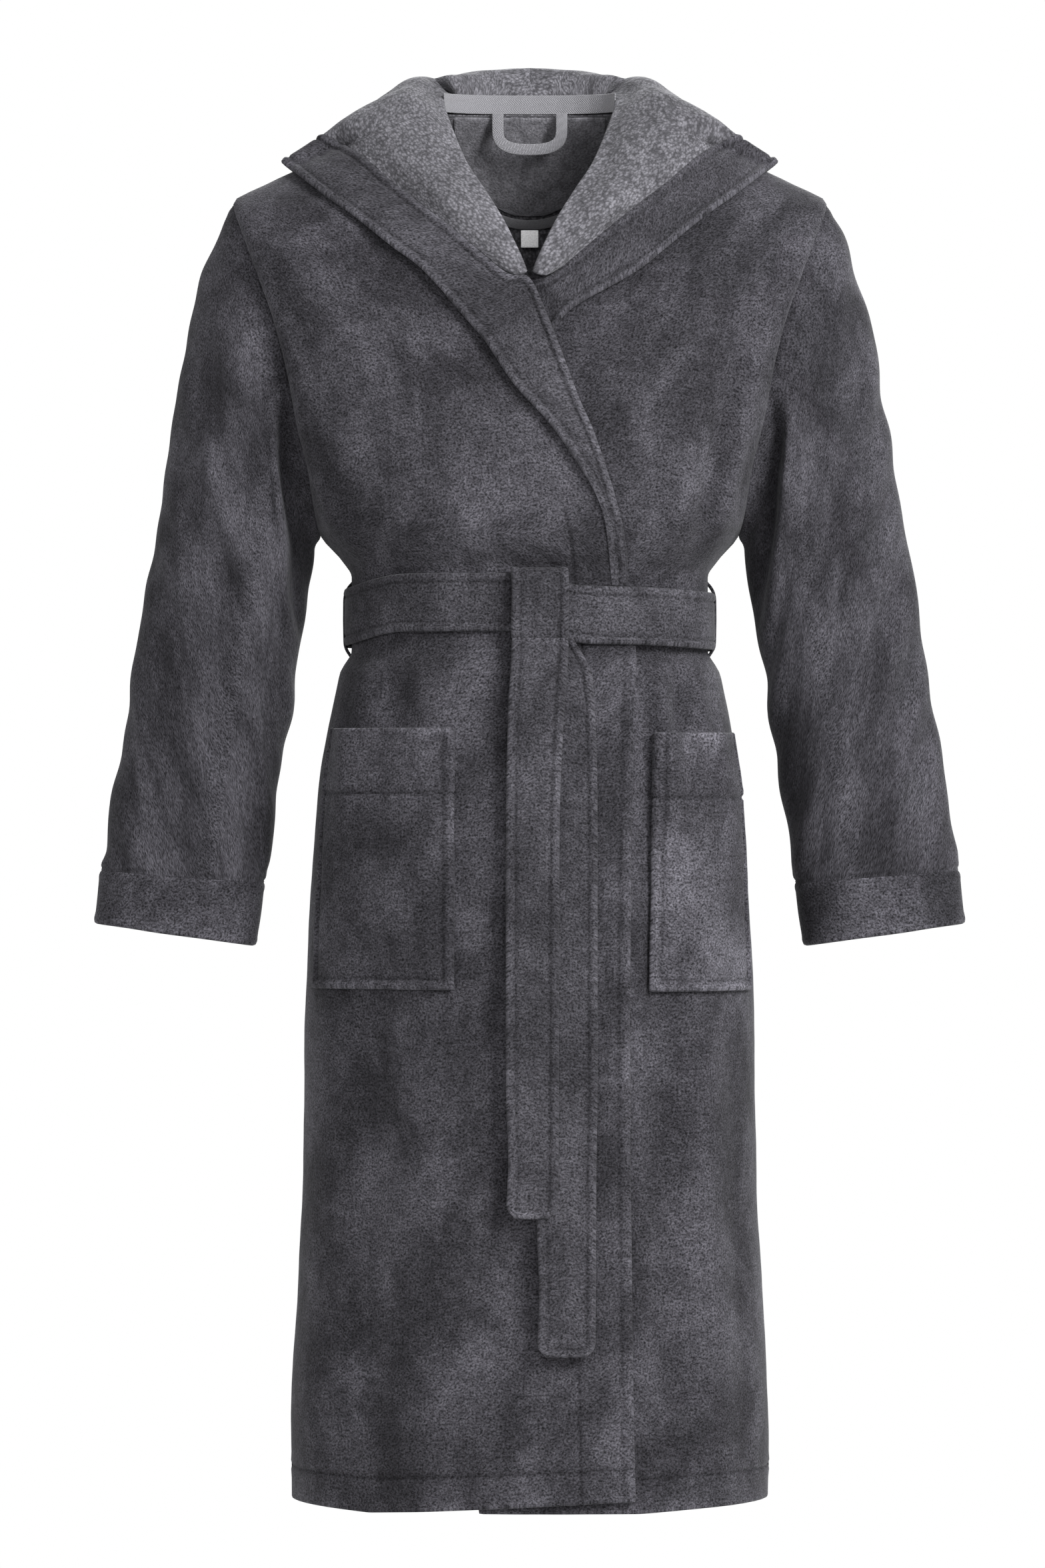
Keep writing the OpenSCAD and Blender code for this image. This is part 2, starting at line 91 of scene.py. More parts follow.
over_edge = curve([[0, 91], [40, 90], [426, 86], [700, 90], [750, 92], [811, 85], [836, 84], [863, 80], [886, 74],
                   [903, 69], [924, 62], [944, 55], [976, 41], [1011, 28], [1040, 18], [1085, -3], [1113, -19],
                   [1145, -37], [1179, -58], [1200, -68], [1226, -76], [1239, -79]])
under_edge = curve([[0, 43], [426, 56], [750, 79], [811, 79], [940, 45], [1085, -3], [1102, -10], [1127, -29],
                    [1154, -45], [1180, -62], [1204, -70], [1228, -76], [1239, -79]])
belt_mid = curve([[-165, 785], [-107, 798], [-15, 798], [50, 787], [100, 786], [165, 782]])


def smooth(t):
    u = np.clip(t, 0, 1)
    return u * u * (3 - 2 * u)


def sq(c):
    return np.maximum(0, 1 - np.minimum(1, np.abs(c)) ** P_SQ) ** (1 / P_SQ)


def arm(z):
    z = np.asarray(z, float)
    k = np.clip(1 - np.abs((z - 1007) / 147) ** (2 / EPS_RING), 0, 1)
    return np.where((z <= 861) | (z >= 1153), 0, 70 * k ** (EPS_RING / 2))


def lap(x):
    return LAP_LIFT * smooth((x + 150) / 70)


def ang(x, z):
    """Angle round the body, in degrees, where the front section reaches x."""
    c = np.minimum(0.9995, np.abs(x) / hx(z))
    a = np.degrees(np.arccos(c ** (P_SQ / 2)))
    return np.where(x > 0, 180 - a, a)


# ------------------------------------------------------------------ folds
def seg_dist(x, z, line):
    """Distance from (x, z) to a line of points, and how far along it, 0 to 1."""
    best = np.full(np.shape(x), 1e9)
    along = np.zeros(np.shape(x))
    pts = np.array(line, float)
    n = len(pts) - 1
    for i in range(n):
        a, b = pts[i], pts[i + 1]
        d = b - a
        t = np.clip(((x - a[0]) * d[0] + (z - a[1]) * d[1]) / (d @ d), 0, 1)
        r = np.hypot(x - a[0] - t * d[0], z - a[1] - t * d[1])
        m = r < best
        best = np.where(m, r, best)
        along = np.where(m, (i + t) / n, along)
    return best, along


def ridge(x, z, line, width, amp):
    d, t = seg_dist(x, z, line)
    return amp * np.exp(-(d / width) ** 2) * np.sin(np.pi * np.clip(t * 0.86 + 0.07, 0, 1)) ** 0.8


FOLD_GAIN = 1.5
# along the front: (points, width, height); x is towards the wearer's left
FRONT_FOLDS = [
    ([(214, 1050), (196, 975), (178, 905), (164, 845)], 12, 6.0),
    ([(196, 1060), (176, 980), (158, 900), (150, 842)], 11, -4.5),
    ([(150, 985), (138, 920), (128, 850)], 15, 4.0),
    ([(112, 960), (108, 900), (104, 838)], 14, -3.0),
    ([(92, 1000), (100, 930), (94, 850)], 18, 2.5),
    ([(-196, 905), (-176, 872), (-160, 846)], 9, 3.5),
    ([(-157, 872), (-155, 852), (-153, 832)], 5, 3.0),
    ([(-147, 884), (-146, 858), (-145, 832)], 5, 2.6),
    ([(-138, 870), (-138, 850), (-137, 832)], 6, -2.2),
    ([(-204, 1000), (-170, 930), (-120, 870)], 22, 2.6),
    ([(-230, 1090), (-190, 1010), (-150, 940)], 20, -2.4),
    ([(-205, 1120), (-160, 1030), (-110, 950)], 26, 2.6),
    ([(-60, 900), (-58, 866), (-55, 836)], 13, 1.8),
    ([(-10, 892), (-6, 862), (-5, 836)], 13, -1.8),
    ([(170, 1130), (150, 1060), (130, 990)], 22, 2.4),
    ([(110, 1085), (100, 1020), (104, 950)], 20, -2.0),
    # under the belt
    ([(-146, 742), (-150, 690), (-158, 600)], 9, 2.6),
    ([(-118, 745), (-122, 690), (-130, 560)], 11, -2.6),
    ([(-92, 745), (-92, 680), (-96, 540)], 13, 2.4),
    ([(-50, 742), (-54, 680), (-60, 470)], 16, -2.0),
    ([(112, 742), (116, 690), (118, 600)], 8, 4.0),
    ([(128, 742), (132, 690), (136, 610)], 7, -3.6),
    ([(100, 742), (101, 690), (100, 560)], 7, -3.2),
    ([(146, 742), (151, 700), (160, 640)], 8, 3.0),
    # long folds of the skirt
    ([(-70, 560), (-84, 330), (-96, 10)], 34, 3.4),
    ([(-128, 520), (-142, 300), (-156, 10)], 26, -3.0),
    ([(-10, 420), (-14, 200), (-16, 10)], 34, -2.6),
    ([(140, 560), (148, 330), (158, 10)], 24, 4.2),
    ([(112, 600), (116, 330), (122, 10)], 16, -3.6),
    ([(180, 480), (186, 250), (194, 10)], 16, -2.4),
    ([(60, 400), (62, 200), (64, 10)], 22, 2.0),
]
BACK_FOLDS = [
    ([(-120, 750), (-136, 500), (-158, 10)], 26, 7.5),
    ([(-84, 752), (-92, 500), (-104, 10)], 18, -6.5),
    ([(-52, 750), (-56, 500), (-60, 10)], 22, 8.0),
    ([(-16, 750), (-14, 480), (-12, 10)], 20, -7.0),
    ([(22, 752), (28, 500), (36, 10)], 22, 8.0),
    ([(60, 750), (68, 500), (80, 10)], 20, -6.5),
    ([(96, 752), (108, 500), (126, 10)], 24, 7.0),
    ([(134, 750), (150, 520), (170, 10)], 16, -5.0),
    ([(-150, 750), (-168, 540), (-190, 10)], 14, -4.0),
    # above the belt
    ([(-110, 1010), (-104, 920), (-98, 836)], 18, 5.0),
    ([(-66, 960), (-64, 900), (-62, 836)], 15, -4.0),
    ([(-22, 990), (-24, 910), (-26, 836)], 18, 4.5),
    ([(20, 940), (18, 890), (16, 836)], 14, -4.0),
    ([(60, 1010), (58, 920), (56, 836)], 18, 4.6),
    ([(108, 980), (104, 900), (100, 836)], 15, -4.0),
    ([(146, 1000), (140, 920), (134, 836)], 15, 4.6),
    ([(-200, 1080), (-150, 1000), (-120, 900)], 22, 3.5),
    ([(200, 1080), (156, 1000), (128, 900)], 22, 3.5),
]


def away_from_belt(z):
    return np.where(z > 790, smooth((z - 824) / 18), smooth((752 - z) / 22))


def crumple(x, z, seed=0.0, size=1.0):
    """Small soft unevenness of a pile cloth."""
    r = np.random.RandomState(11 + int(seed * 10))
    out = np.zeros(np.broadcast(x, z).shape)
    for k in range(14):
        lam = r.uniform(28, 120)
        t = r.uniform(0, math.pi)
        ph = r.uniform(0, 6.28)
        out = out + (lam / 120) ** 0.6 * np.sin(2 * math.pi * (x * math.cos(t) + z * math.sin(t)) / lam + ph)
    return size * 0.34 * out


def fold_front(x, z):
    out = np.zeros(np.broadcast(x, z).shape)
    for line, w, a in FRONT_FOLDS:
        out = out + FOLD_GAIN * ridge(x, z, line, w, a)
    side = smooth((hx(z) - np.abs(x)) / 26)
    return (out * side + crumple(x, z) * (0.35 + 0.65 * side)) * away_from_belt(z) * smooth((1215 - z) / 60)


def fold_back(x, z):
    out = np.zeros(np.broadcast(x, z).shape)
    for line, w, a in BACK_FOLDS:
        out = out + ridge(x, z, line, w, a) * np.where(np.array(line)[0][1] < 800, 0.35 + 0.65 * smooth((740 - z) / 500), 1)
    side = smooth((hx(z) - np.abs(x)) / 26)
    return (out * side + crumple(x, z) * (0.35 + 0.65 * side)) * away_from_belt(z) * smooth((1215 - z) / 60)


def section(theta, z, fold=True, keep=None):
    """Point of the body's outside and its outward normal; theta 0 is the wearer's right seam, 90 the front."""
    a = np.radians(theta)
    c, s = np.cos(a), np.sin(a)
    front = np.asarray(theta) <= 180
    X, A = hx(z), arm(z)
    D = np.where(front, ft(z), bt(z))
    cx = np.sign(c) * np.abs(c) ** (2 / P_SQ)
    sx = np.abs(s) ** (2 / P_SQ)
    sg = np.where(front, -1.0, 1.0)
    x = -X * cx
    y = sg * (A + (D - A) * sx)
    nx = -np.sign(c) * np.abs(c) ** (2 * (P_SQ - 1) / P_SQ) / X
    ny = sg * np.abs(s) ** (2 * (P_SQ - 1) / P_SQ) / np.maximum(D - A, 20)
    ln = np.hypot(nx, ny) + 1e-12
    nx, ny = nx / ln, ny / ln
    f = np.where(front, fold_front(x, z), fold_back(x, z)) if fold else 0.0
    return np.stack(np.broadcast_arrays(x + nx * f, y + ny * f, z + 0 * x), -1), np.stack(np.broadcast_arrays(nx, ny, 0 * x), -1)


def fy(x, z, fold=True):
    """y of the front at x; the folds are taken as moving it straight forwards."""
    y = -(arm(z) + (ft(z) - arm(z)) * sq(x / hx(z)))
    return y - (fold_front(x, z) if fold else 0)


def by(x, z, fold=False):
    return arm(z) + (bt(z) - arm(z)) * sq(x / hx(z)) + (fold_back(x, z) if fold else 0)


# ------------------------------------------------------------------ mesh building
def unit(v):
    return v / np.maximum(np.linalg.norm(v, axis=-1, keepdims=True), 1e-9)


def normals(G, closed=False):
    du = np.gradient(G, axis=0)
    dv = (np.roll(G, -1, 1) - np.roll(G, 1, 1)) if closed else np.gradient(G, axis=1)
    return unit(np.cross(du, dv))


def lengths(G, axis, closed=False):
    d = np.linalg.norm(np.diff(G, axis=axis), axis=-1)
    pad = [(0, 0), (0, 0)]
    pad[axis] = (1, 0)
    return np.pad(np.cumsum(d, axis=axis), pad)


MADE = {}


def cloth(name, G, face, t, mats, relief=None, groove_shade=None, rim=3.2, closed=False, swell=0.0, seed=0.0, light=None):
    """A closed sheet: G is the face that shows, rows by columns, in millimetres of the garment frame. face is roughly
    which way that face looks. t is the thickness; relief lifts or sinks the face; groove paints shade along stitched
    lines; light paints a sheen highlight."""
    G = np.array(G, float)
    m, n = G.shape[:2]
    N = normals(G, closed)
    side = 1 if float(np.sum(N * np.asarray(face, float))) > 0 else -1
    N = N * side
    U = lengths(G, 1)
    V = lengths(G, 0)
    if closed:
        Dm = np.minimum(V, V[-1:, :] - V)
    else:
        Dm = np.minimum(np.minimum(U, U[:, -1:] - U), np.minimum(V, V[-1:, :] - V))
    R = np.zeros((m, n)) if relief is None else np.broadcast_to(relief, (m, n)).astype(float)
    gr = np.zeros((m, n)) if groove_shade is None else np.broadcast_to(groove_shade, (m, n)).astype(float)
    if swell:
        R = R + swell * np.exp(-(Dm / 5.0) ** 2)
    T = np.broadcast_to(np.asarray(t, float), (m, n))
    F = G + N * R[..., None]
    soft = np.sign(R) * np.maximum(0, np.abs(R) - 1.8)      # the back follows deep folds, not stitches
    B = G + N * (soft - T)[..., None]
    # edge feeds the rim mask: 1 on the border, fading inwards, where a sheen highlight is painted
    edge = np.exp(-(Dm / rim) ** 2)
    verts = [F.reshape(-1, 3), B.reshape(-1, 3)]
    k = m * n
    cloth_u = U - (U[:, -1:] * 0.5)
    cv = np.stack([cloth_u, V, np.full((m, n), seed * 400.0)], -1) / 1000.0
    attr_c = [cv.reshape(-1, 3), (cv + np.array([0, 0, 0.07])).reshape(-1, 3)]
    attr_e = [edge.reshape(-1), edge.reshape(-1)]
    # painted shade along stitched lines, on the shown face only
    attr_g = [gr.reshape(-1), np.zeros(k)]
    # painted sheen highlight from the light mask, on the shown face only
    sheen = np.zeros((m, n)) if light is None else np.broadcast_to(light, (m, n)).astype(float)
    attr_l = [sheen.reshape(-1), np.zeros(k)]
    faces, mi = [], []
    idx = np.arange(k).reshape(m, n)
    if closed:
        a, b = idx[:-1], np.roll(idx, -1, 1)[:-1]
        d, c = idx[1:], np.roll(idx, -1, 1)[1:]
    else:
        a, b, c, d = idx[:-1, :-1], idx[:-1, 1:], idx[1:, 1:], idx[1:, :-1]
    quads = np.stack([a, d, c, b], -1).reshape(-1, 4)      # turns with rows x columns
    if side < 0:
        quads = quads[:, ::-1]
    faces.append(quads)
    mi.append(np.zeros(len(quads), int))
    faces.append(quads[:, ::-1] + k)
    mi.append(np.ones(len(quads), int))
    # rounded border
    loops = []
    if closed:
        loops.append(([(0, j) for j in range(n)], "top"))
        loops.append(([(m - 1, j) for j in range(n)], "bottom"))
    else:
        ring = ([(0, j) for j in range(n)] + [(i, n - 1) for i in range(1, m)]
                + [(m - 1, j) for j in range(n - 2, -1, -1)] + [(i, 0) for i in range(m - 2, 0, -1)])
        loops.append((ring, "ring"))
    base = 2 * k
    for ring, kind in loops:
        ii = np.array([r[0] for r in ring])
        jj = np.array([r[1] for r in ring])
        e = np.zeros((len(ring), 3))
        e += np.where((ii == 0)[:, None], unit(G[0, jj] - G[1, jj]), 0)
        e += np.where((ii == m - 1)[:, None], unit(G[m - 1, jj] - G[m - 2, jj]), 0)
        if not closed:
            e += np.where((jj == 0)[:, None], unit(G[ii, 0] - G[ii, 1]), 0)
            e += np.where((jj == n - 1)[:, None], unit(G[ii, n - 1] - G[ii, n - 2]), 0)
        nn = N[ii, jj]
        e = unit(e - nn * np.sum(e * nn, -1, keepdims=True))
        pf, pb = F[ii, jj], B[ii, jj]
        mid = (pf + pb) / 2
        r = np.linalg.norm(pf - pb, axis=-1, keepdims=True) / 2
        L = len(ring)
        rings = [ii * n + jj]
        for f in (40, 90, 140):
            q = math.radians(f)
            verts.append(mid + r * (math.cos(q) * nn + math.sin(q) * e))
            # the rounded border gets the full painted edge sheen and no painted stitch shade
            attr_c.append(cv[ii, jj] + np.array([0, 0.001, 0.0]))
            attr_e.append(np.ones(L))
            attr_g.append(np.zeros(L))
            attr_l.append(sheen[ii, jj])
            rings.append(base + np.arange(L))
            base += L
        rings.append(k + ii * n + jj)
        for q in range(4):
            p0, p1 = rings[q], rings[q + 1]
            s = np.stack([p0, np.roll(p0, -1), np.roll(p1, -1), p1], -1)
            turn = (kind == "bottom") != (side < 0)
            s = s[:, ::-1] if turn else s
            faces.append(s)
            mi.append(np.full(L, 0 if q < 2 else 1))
    V3 = np.concatenate(verts)
    quad = np.concatenate(faces).astype(np.int32)
    mesh = bpy.data.meshes.new(name)
    co = (V3 - ORIGIN) / 1000.0
    mesh.vertices.add(len(co))
    mesh.vertices.foreach_set("co", co.astype(np.float32).ravel())
    mesh.loops.add(quad.size)
    mesh.loops.foreach_set("vertex_index", quad.ravel())
    mesh.polygons.add(len(quad))
    mesh.polygons.foreach_set("loop_start", np.arange(0, quad.size, 4, dtype=np.int32))
    for mt in mats:
        mesh.materials.append(mt)
    mesh.polygons.foreach_set("material_index", np.concatenate(mi).astype(np.int32))
    mesh.update(calc_edges=True)
    mesh.validate()
    mesh.polygons.foreach_set("use_smooth", np.ones(len(mesh.polygons), bool))
    for key, kind, data in (("cloth", "FLOAT_VECTOR", attr_c), ("rim", "FLOAT", attr_e), ("groove_shade", "FLOAT", attr_g),
                            ("painted_sheen", "FLOAT", attr_l)):
        at = mesh.attributes.new(key, kind, "POINT")
        at.data.foreach_set("vector" if kind == "FLOAT_VECTOR" else "value",
                            np.concatenate(attr_c if key == "cloth" else data).astype(np.float32).ravel())
    ob = bpy.data.objects.new(name + "_cloth", mesh)
    bpy.context.scene.collection.objects.link(ob)
    w = float(U[:, -1].max()) if not closed else float((np.linalg.norm(G - np.roll(G, -1, 1), axis=-1).sum(1)).max())
    ln = float(V[-1].max())
    q0, q1, q2, q3 = (V3[quads[:, i]] for i in range(4))
    area = float((np.linalg.norm(np.cross(q1 - q0, q2 - q0), axis=-1) + np.linalg.norm(np.cross(q2 - q0, q3 - q0), axis=-1)).sum() / 2)
    MADE[ob.name] = {"w": w / 1000, "l": ln / 1000, "area": area / 1e6}
    return ob


def declare(ob, body, held, nodes, ride=True, blend=None):
    f = MADE[ob.name]
    w, l = max(0.011, round(f["w"] + 0.002, 3)), max(0.011, round(f["l"] + 0.002, 3))
    area = min(w * l, max(0.31 * w * l, f["area"]))
    if blend:
        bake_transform(ob)
    else:
        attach(ob, body)
    if nodes:
        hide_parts(*nodes)
    FLATS.append((ob.name, w, l, round(area, 4), held))
    return ob


FLATS = []
FRONT = (0, -1, 0)

# ------------------------------------------------------------------ materials


def node(nt, kind, **values):
    nd = nt.nodes.new(kind)
    for key, v in values.items():
        if hasattr(nd, key):
            setattr(nd, key, v)
        else:
            nd.inputs[key].default_value = v
    return nd


def math_node(nt, op, a, b=None, clamp=False):
    nd = nt.nodes.new("ShaderNodeMath")
    nd.operation = op
    nd.use_clamp = clamp
    for i, v in enumerate((a, b)):
        if v is None:
            continue
        if isinstance(v, (int, float)):
            nd.inputs[i].default_value = v
        else:
            nt.links.new(v, nd.inputs[i])
    return nd.outputs[0]


def spread(nt, value, lo, hi, to_lo, to_hi, soft=True):
    nd = nt.nodes.new("ShaderNodeMapRange")
    nd.interpolation_type = "SMOOTHSTEP" if soft else "LINEAR"
    nt.links.new(value, nd.inputs[0])
    for i, v in enumerate((lo, hi, to_lo, to_hi)):
        nd.inputs[i + 1].default_value = v
    return nd.outputs[0]


def noise(nt, vec, scale, detail=2.0, rough=0.5, distort=0.0):
    nd = nt.nodes.new("ShaderNodeTexNoise")
    nt.links.new(vec, nd.inputs["Vector"])
    nd.inputs["Scale"].default_value = scale
    nd.inputs["Detail"].default_value = detail
    nd.inputs["Roughness"].default_value = rough
    nd.inputs["Distortion"].default_value = distort
    return nd.outputs["Fac"]


def scaled(nt, vec, s):
    nd = nt.nodes.new("ShaderNodeMapping")
    nt.links.new(vec, nd.inputs["Vector"])
    nd.inputs["Scale"].default_value = s
    return nd.outputs["Vector"]


def pile(name, base, speck=0.34, speck_size=520.0, patch=0.22, rim=0.5, bump=0.6, sheen=0.05, loops=False, stretch=(1, 1, 1),
         tint=(0.95, 0.96, 1.0), rough=0.95):
    """Cut or looped pile: fine grain, soft patches where the pile lies another way, a painted sheen highlight on
    rounded edges and wherever a piece asks for one, painted shade along stitched lines.
    """
    mat = bpy.data.materials.new(name)
    mat.use_nodes = True
    nt = mat.node_tree
    nt.nodes.clear()
    out = nt.nodes.new("ShaderNodeOutputMaterial")
    bs = nt.nodes.new("ShaderNodeBsdfPrincipled")
    nt.links.new(bs.outputs[0], out.inputs[0])
    at = nt.nodes.new("ShaderNodeAttribute")
    at.attribute_name = "cloth"
    vec = scaled(nt, at.outputs["Vector"], stretch)
    e = nt.nodes.new("ShaderNodeAttribute")
    e.attribute_name = "rim"
    g = nt.nodes.new("ShaderNodeAttribute")
    g.attribute_name = "groove_shade"
    lt = nt.nodes.new("ShaderNodeAttribute")
    lt.attribute_name = "painted_sheen"
    fine = noise(nt, vec, speck_size, 3.0, 0.62, 0.4)
    mid = noise(nt, vec, speck_size * 0.21, 2.5, 0.6, 0.5)
    big = noise(nt, scaled(nt, vec, (1.0, 0.62, 1.0)), 15.0, 3.0, 0.55, 0.35)
    huge = noise(nt, vec, 5.0, 2.0, 0.5, 0.3)
    if loops:
        vo = nt.nodes.new("ShaderNodeTexVoronoi")
        nt.links.new(scaled(nt, vec, (1.0, 0.72, 1.0)), vo.inputs["Vector"])
        vo.inputs["Scale"].default_value = speck_size * 0.62
        cell = spread(nt, vo.outputs["Distance"], 0.0, 0.85, 0.78, 0.22)
        fine = math_node(nt, "ADD", math_node(nt, "MULTIPLY", cell, 0.5), math_node(nt, "MULTIPLY", fine, 0.5))
    k = spread(nt, fine, 0.28, 0.74, 1 - speck, 1 + speck * 1.25)
    k = math_node(nt, "MULTIPLY", k, spread(nt, mid, 0.3, 0.7, 0.80, 1.24))
    k = math_node(nt, "MULTIPLY", k, spread(nt, big, 0.34, 0.70, 1 - patch * 0.75, 1 + patch * 1.25))
    k = math_node(nt, "MULTIPLY", k, spread(nt, huge, 0.3, 0.7, 0.94, 1.07))
    # painted sheen highlight: the rounded edges are lightened, in patches, like pile catching light at a grazing angle
    painted_edge_sheen = math_node(nt, "MULTIPLY", e.outputs["Fac"], spread(nt, noise(nt, vec, 60.0, 3.0, 0.6), 0.35, 0.7, 0.15, 1.3))
    k = math_node(nt, "MULTIPLY", k, math_node(nt, "ADD", math_node(nt, "MULTIPLY", painted_edge_sheen, rim), 1.0))
    # painted sheen highlight: the colour is brightened where a piece's light mask asks for it
    k = math_node(nt, "MULTIPLY", k, math_node(nt, "ADD", math_node(nt, "MULTIPLY", lt.outputs["Fac"], 1.0), 1.0))
    # painted shade: stitched lines are darkened as if their sunk grooves lay in shadow
    k = math_node(nt, "MULTIPLY", k, math_node(nt, "SUBTRACT", 1.0, math_node(nt, "MULTIPLY", g.outputs["Fac"], 0.30)))
    col = nt.nodes.new("ShaderNodeMix")
    col.data_type = "RGBA"
    col.blend_type = "MULTIPLY"
    col.inputs[0].default_value = 1.0
    ca = [i for i in col.inputs if i.type == "RGBA"]
    ca[0].default_value = (*base, 1)
    comb = nt.nodes.new("ShaderNodeCombineXYZ")
    for i in range(3):
        nt.links.new(k, comb.inputs[i])
    nt.links.new(comb.outputs[0], ca[1])
    nt.links.new([o for o in col.outputs if o.type == "RGBA"][0], bs.inputs["Base Color"])
    bs.inputs["Roughness"].default_value = rough
    bs.inputs["IOR"].default_value = 1.4
    bs.inputs["Specular IOR Level"].default_value = 0.08
    bs.inputs["Sheen Weight"].default_value = sheen
    bs.inputs["Sheen Roughness"].default_value = 0.42
    bs.inputs["Sheen Tint"].default_value = (*tint, 1)
    hb = math_node(nt, "ADD", math_node(nt, "MULTIPLY", fine, 0.70), math_node(nt, "MULTIPLY", mid, 1.1))
    hb = math_node(nt, "ADD", hb, math_node(nt, "MULTIPLY", big, 1.6))
    bp = nt.nodes.new("ShaderNodeBump")
    bp.inputs["Strength"].default_value = bump
    bp.inputs["Distance"].default_value = 0.0016
    nt.links.new(hb, bp.inputs["Height"])
    nt.links.new(bp.outputs[0], bs.inputs["Normal"])
    return mat


def woven(name, base, pitch=0.0042, herring=True, rough=0.75, sheen=0.15, contrast=0.22, bump=0.5):
    """Flat weave; with herring, zigzag ribs in columns."""
    mat = bpy.data.materials.new(name)
    mat.use_nodes = True
    nt = mat.node_tree
    nt.nodes.clear()
    out = nt.nodes.new("ShaderNodeOutputMaterial")
    bs = nt.nodes.new("ShaderNodeBsdfPrincipled")
    nt.links.new(bs.outputs[0], out.inputs[0])
    at = nt.nodes.new("ShaderNodeAttribute")
    at.attribute_name = "cloth"
    sp = nt.nodes.new("ShaderNodeSeparateXYZ")
    nt.links.new(at.outputs["Vector"], sp.inputs[0])
    if herring:
        zig = math_node(nt, "PINGPONG", sp.outputs[1], pitch)
        line = math_node(nt, "ADD", sp.outputs[0], zig)
        wave = math_node(nt, "SINE", math_node(nt, "MULTIPLY", line, 2 * math.pi / 0.0021))
    else:
        wa = math_node(nt, "SINE", math_node(nt, "MULTIPLY", sp.outputs[0], 2 * math.pi / 0.0011))
        wb = math_node(nt, "SINE", math_node(nt, "MULTIPLY", sp.outputs[1], 2 * math.pi / 0.0011))
        wave = math_node(nt, "MULTIPLY", wa, wb)
    fz = noise(nt, at.outputs["Vector"], 700.0, 2.0, 0.6)
    k = spread(nt, wave, -1.0, 1.0, 1 - contrast, 1 + contrast)
    k = math_node(nt, "MULTIPLY", k, spread(nt, fz, 0.3, 0.7, 0.88, 1.14))
    col = nt.nodes.new("ShaderNodeMix")
    col.data_type = "RGBA"
    col.blend_type = "MULTIPLY"
    col.inputs[0].default_value = 1.0
    ca = [i for i in col.inputs if i.type == "RGBA"]
    ca[0].default_value = (*base, 1)
    comb = nt.nodes.new("ShaderNodeCombineXYZ")
    for i in range(3):
        nt.links.new(k, comb.inputs[i])
    nt.links.new(comb.outputs[0], ca[1])
    nt.links.new([o for o in col.outputs if o.type == "RGBA"][0], bs.inputs["Base Color"])
    bs.inputs["Roughness"].default_value = rough
    bs.inputs["IOR"].default_value = 1.45
    bs.inputs["Specular IOR Level"].default_value = 0.25
    bs.inputs["Sheen Weight"].default_value = sheen
    bs.inputs["Sheen Roughness"].default_value = 0.4
    bp = nt.nodes.new("ShaderNodeBump")
    bp.inputs["Strength"].default_value = bump
    bp.inputs["Distance"].default_value = 0.0004
    nt.links.new(wave, bp.inputs["Height"])
    nt.links.new(bp.outputs[0], bs.inputs["Normal"])
    return mat


# rim sets the strength of the painted sheen highlight on rounded edges
VELOUR = pile("velour", (0.0176, 0.0170, 0.0197), speck=0.80, patch=0.46, rim=0.26)
BELT = pile("belt_velour", (0.0190, 0.0184, 0.0212), speck=0.78, patch=0.36, rim=0.28)
BAND = pile("velour_band", (0.0200, 0.0194, 0.0223), speck=0.74, rim=0.28, patch=0.32)
TERRY = pile("terry_loops", (0.0520, 0.0510, 0.0565), speck=0.55, speck_size=620.0, patch=0.18, rim=0.18, bump=0.9, loops=True, sheen=0.08)
YOKE = pile("yoke_cloth", (0.0640, 0.0628, 0.0690), speck=0.40, patch=0.16, rim=0.2)
TAPE = woven("herringbone_tape", (0.105, 0.104, 0.112))
BIND = woven("binding", (0.092, 0.091, 0.098), herring=False, contrast=0.12)
LABEL = woven("label_satin", (0.93, 0.93, 0.94), herring=False, rough=0.45, sheen=0.0, contrast=0.03, bump=0.15)


# ------------------------------------------------------------------ rows and columns
# soft line mask for painted shade along a stitched line
def stitch_shade_line(d, at, width=1.7):
    return np.exp(-((d - at) / width) ** 2)


def stitch_relief(d, at, depth=1.5, width=1.7, puff=0.7):
    """A stitched line sinks and the cloth swells on both sides of it."""
    return -depth * np.exp(-((d - at) / width) ** 2) + puff * np.exp(-((np.abs(d - at) - 4.6) / 2.6) ** 2)


def rows_of(lo, hi, step, extra=()):
    z = np.arange(lo, hi, step)
    keep = [v for v in z if not any(abs(v - e) < step * 0.45 for e in extra)]
    return np.unique(np.round(np.array(keep + [e for e in extra if lo <= e <= hi] + [hi]), 3))


HEM = [26.0, 28.0, 29.2, 30.4, 32.0, 34.5]
BELT_Z = [752, 755, 758, 822, 825, 828, 832, 837]
Z_ALL = rows_of(0.0, 1236.0, 6.0, [1.5, 3.5] + HEM + BELT_Z)
Z_FRONT = Z_ALL[Z_ALL < 1207]


def lift_over(x):
    return np.interp(x, [-211, -142, 91], [7.0, 1.5, 13.0])


def lift_under(x):
    return np.interp(x, [-50, 96, 211], [2.0, 1.5, 8.0])


def hem_lift(G, f):
    z = G[..., 2]
    G[..., 2] = z + f(G[..., 0]) * np.clip(1 - z / 220, 0, 1) ** 1.5
    return G


def hem_relief(z, at=30.0):
    return stitch_relief(z, at, 1.3, 1.5, 0.5)


# ------------------------------------------------------------------ body
th = np.concatenate([[180.15, 180.9], np.linspace(182.0, 358.0, 139), [359.1, 359.85]])
TH, ZZ = np.meshgrid(th, Z_ALL)
G, _ = section(TH, ZZ)
G = hem_lift(G, lambda x: np.interp(np.abs(x), [0, 211], [3.0, 7.5]))
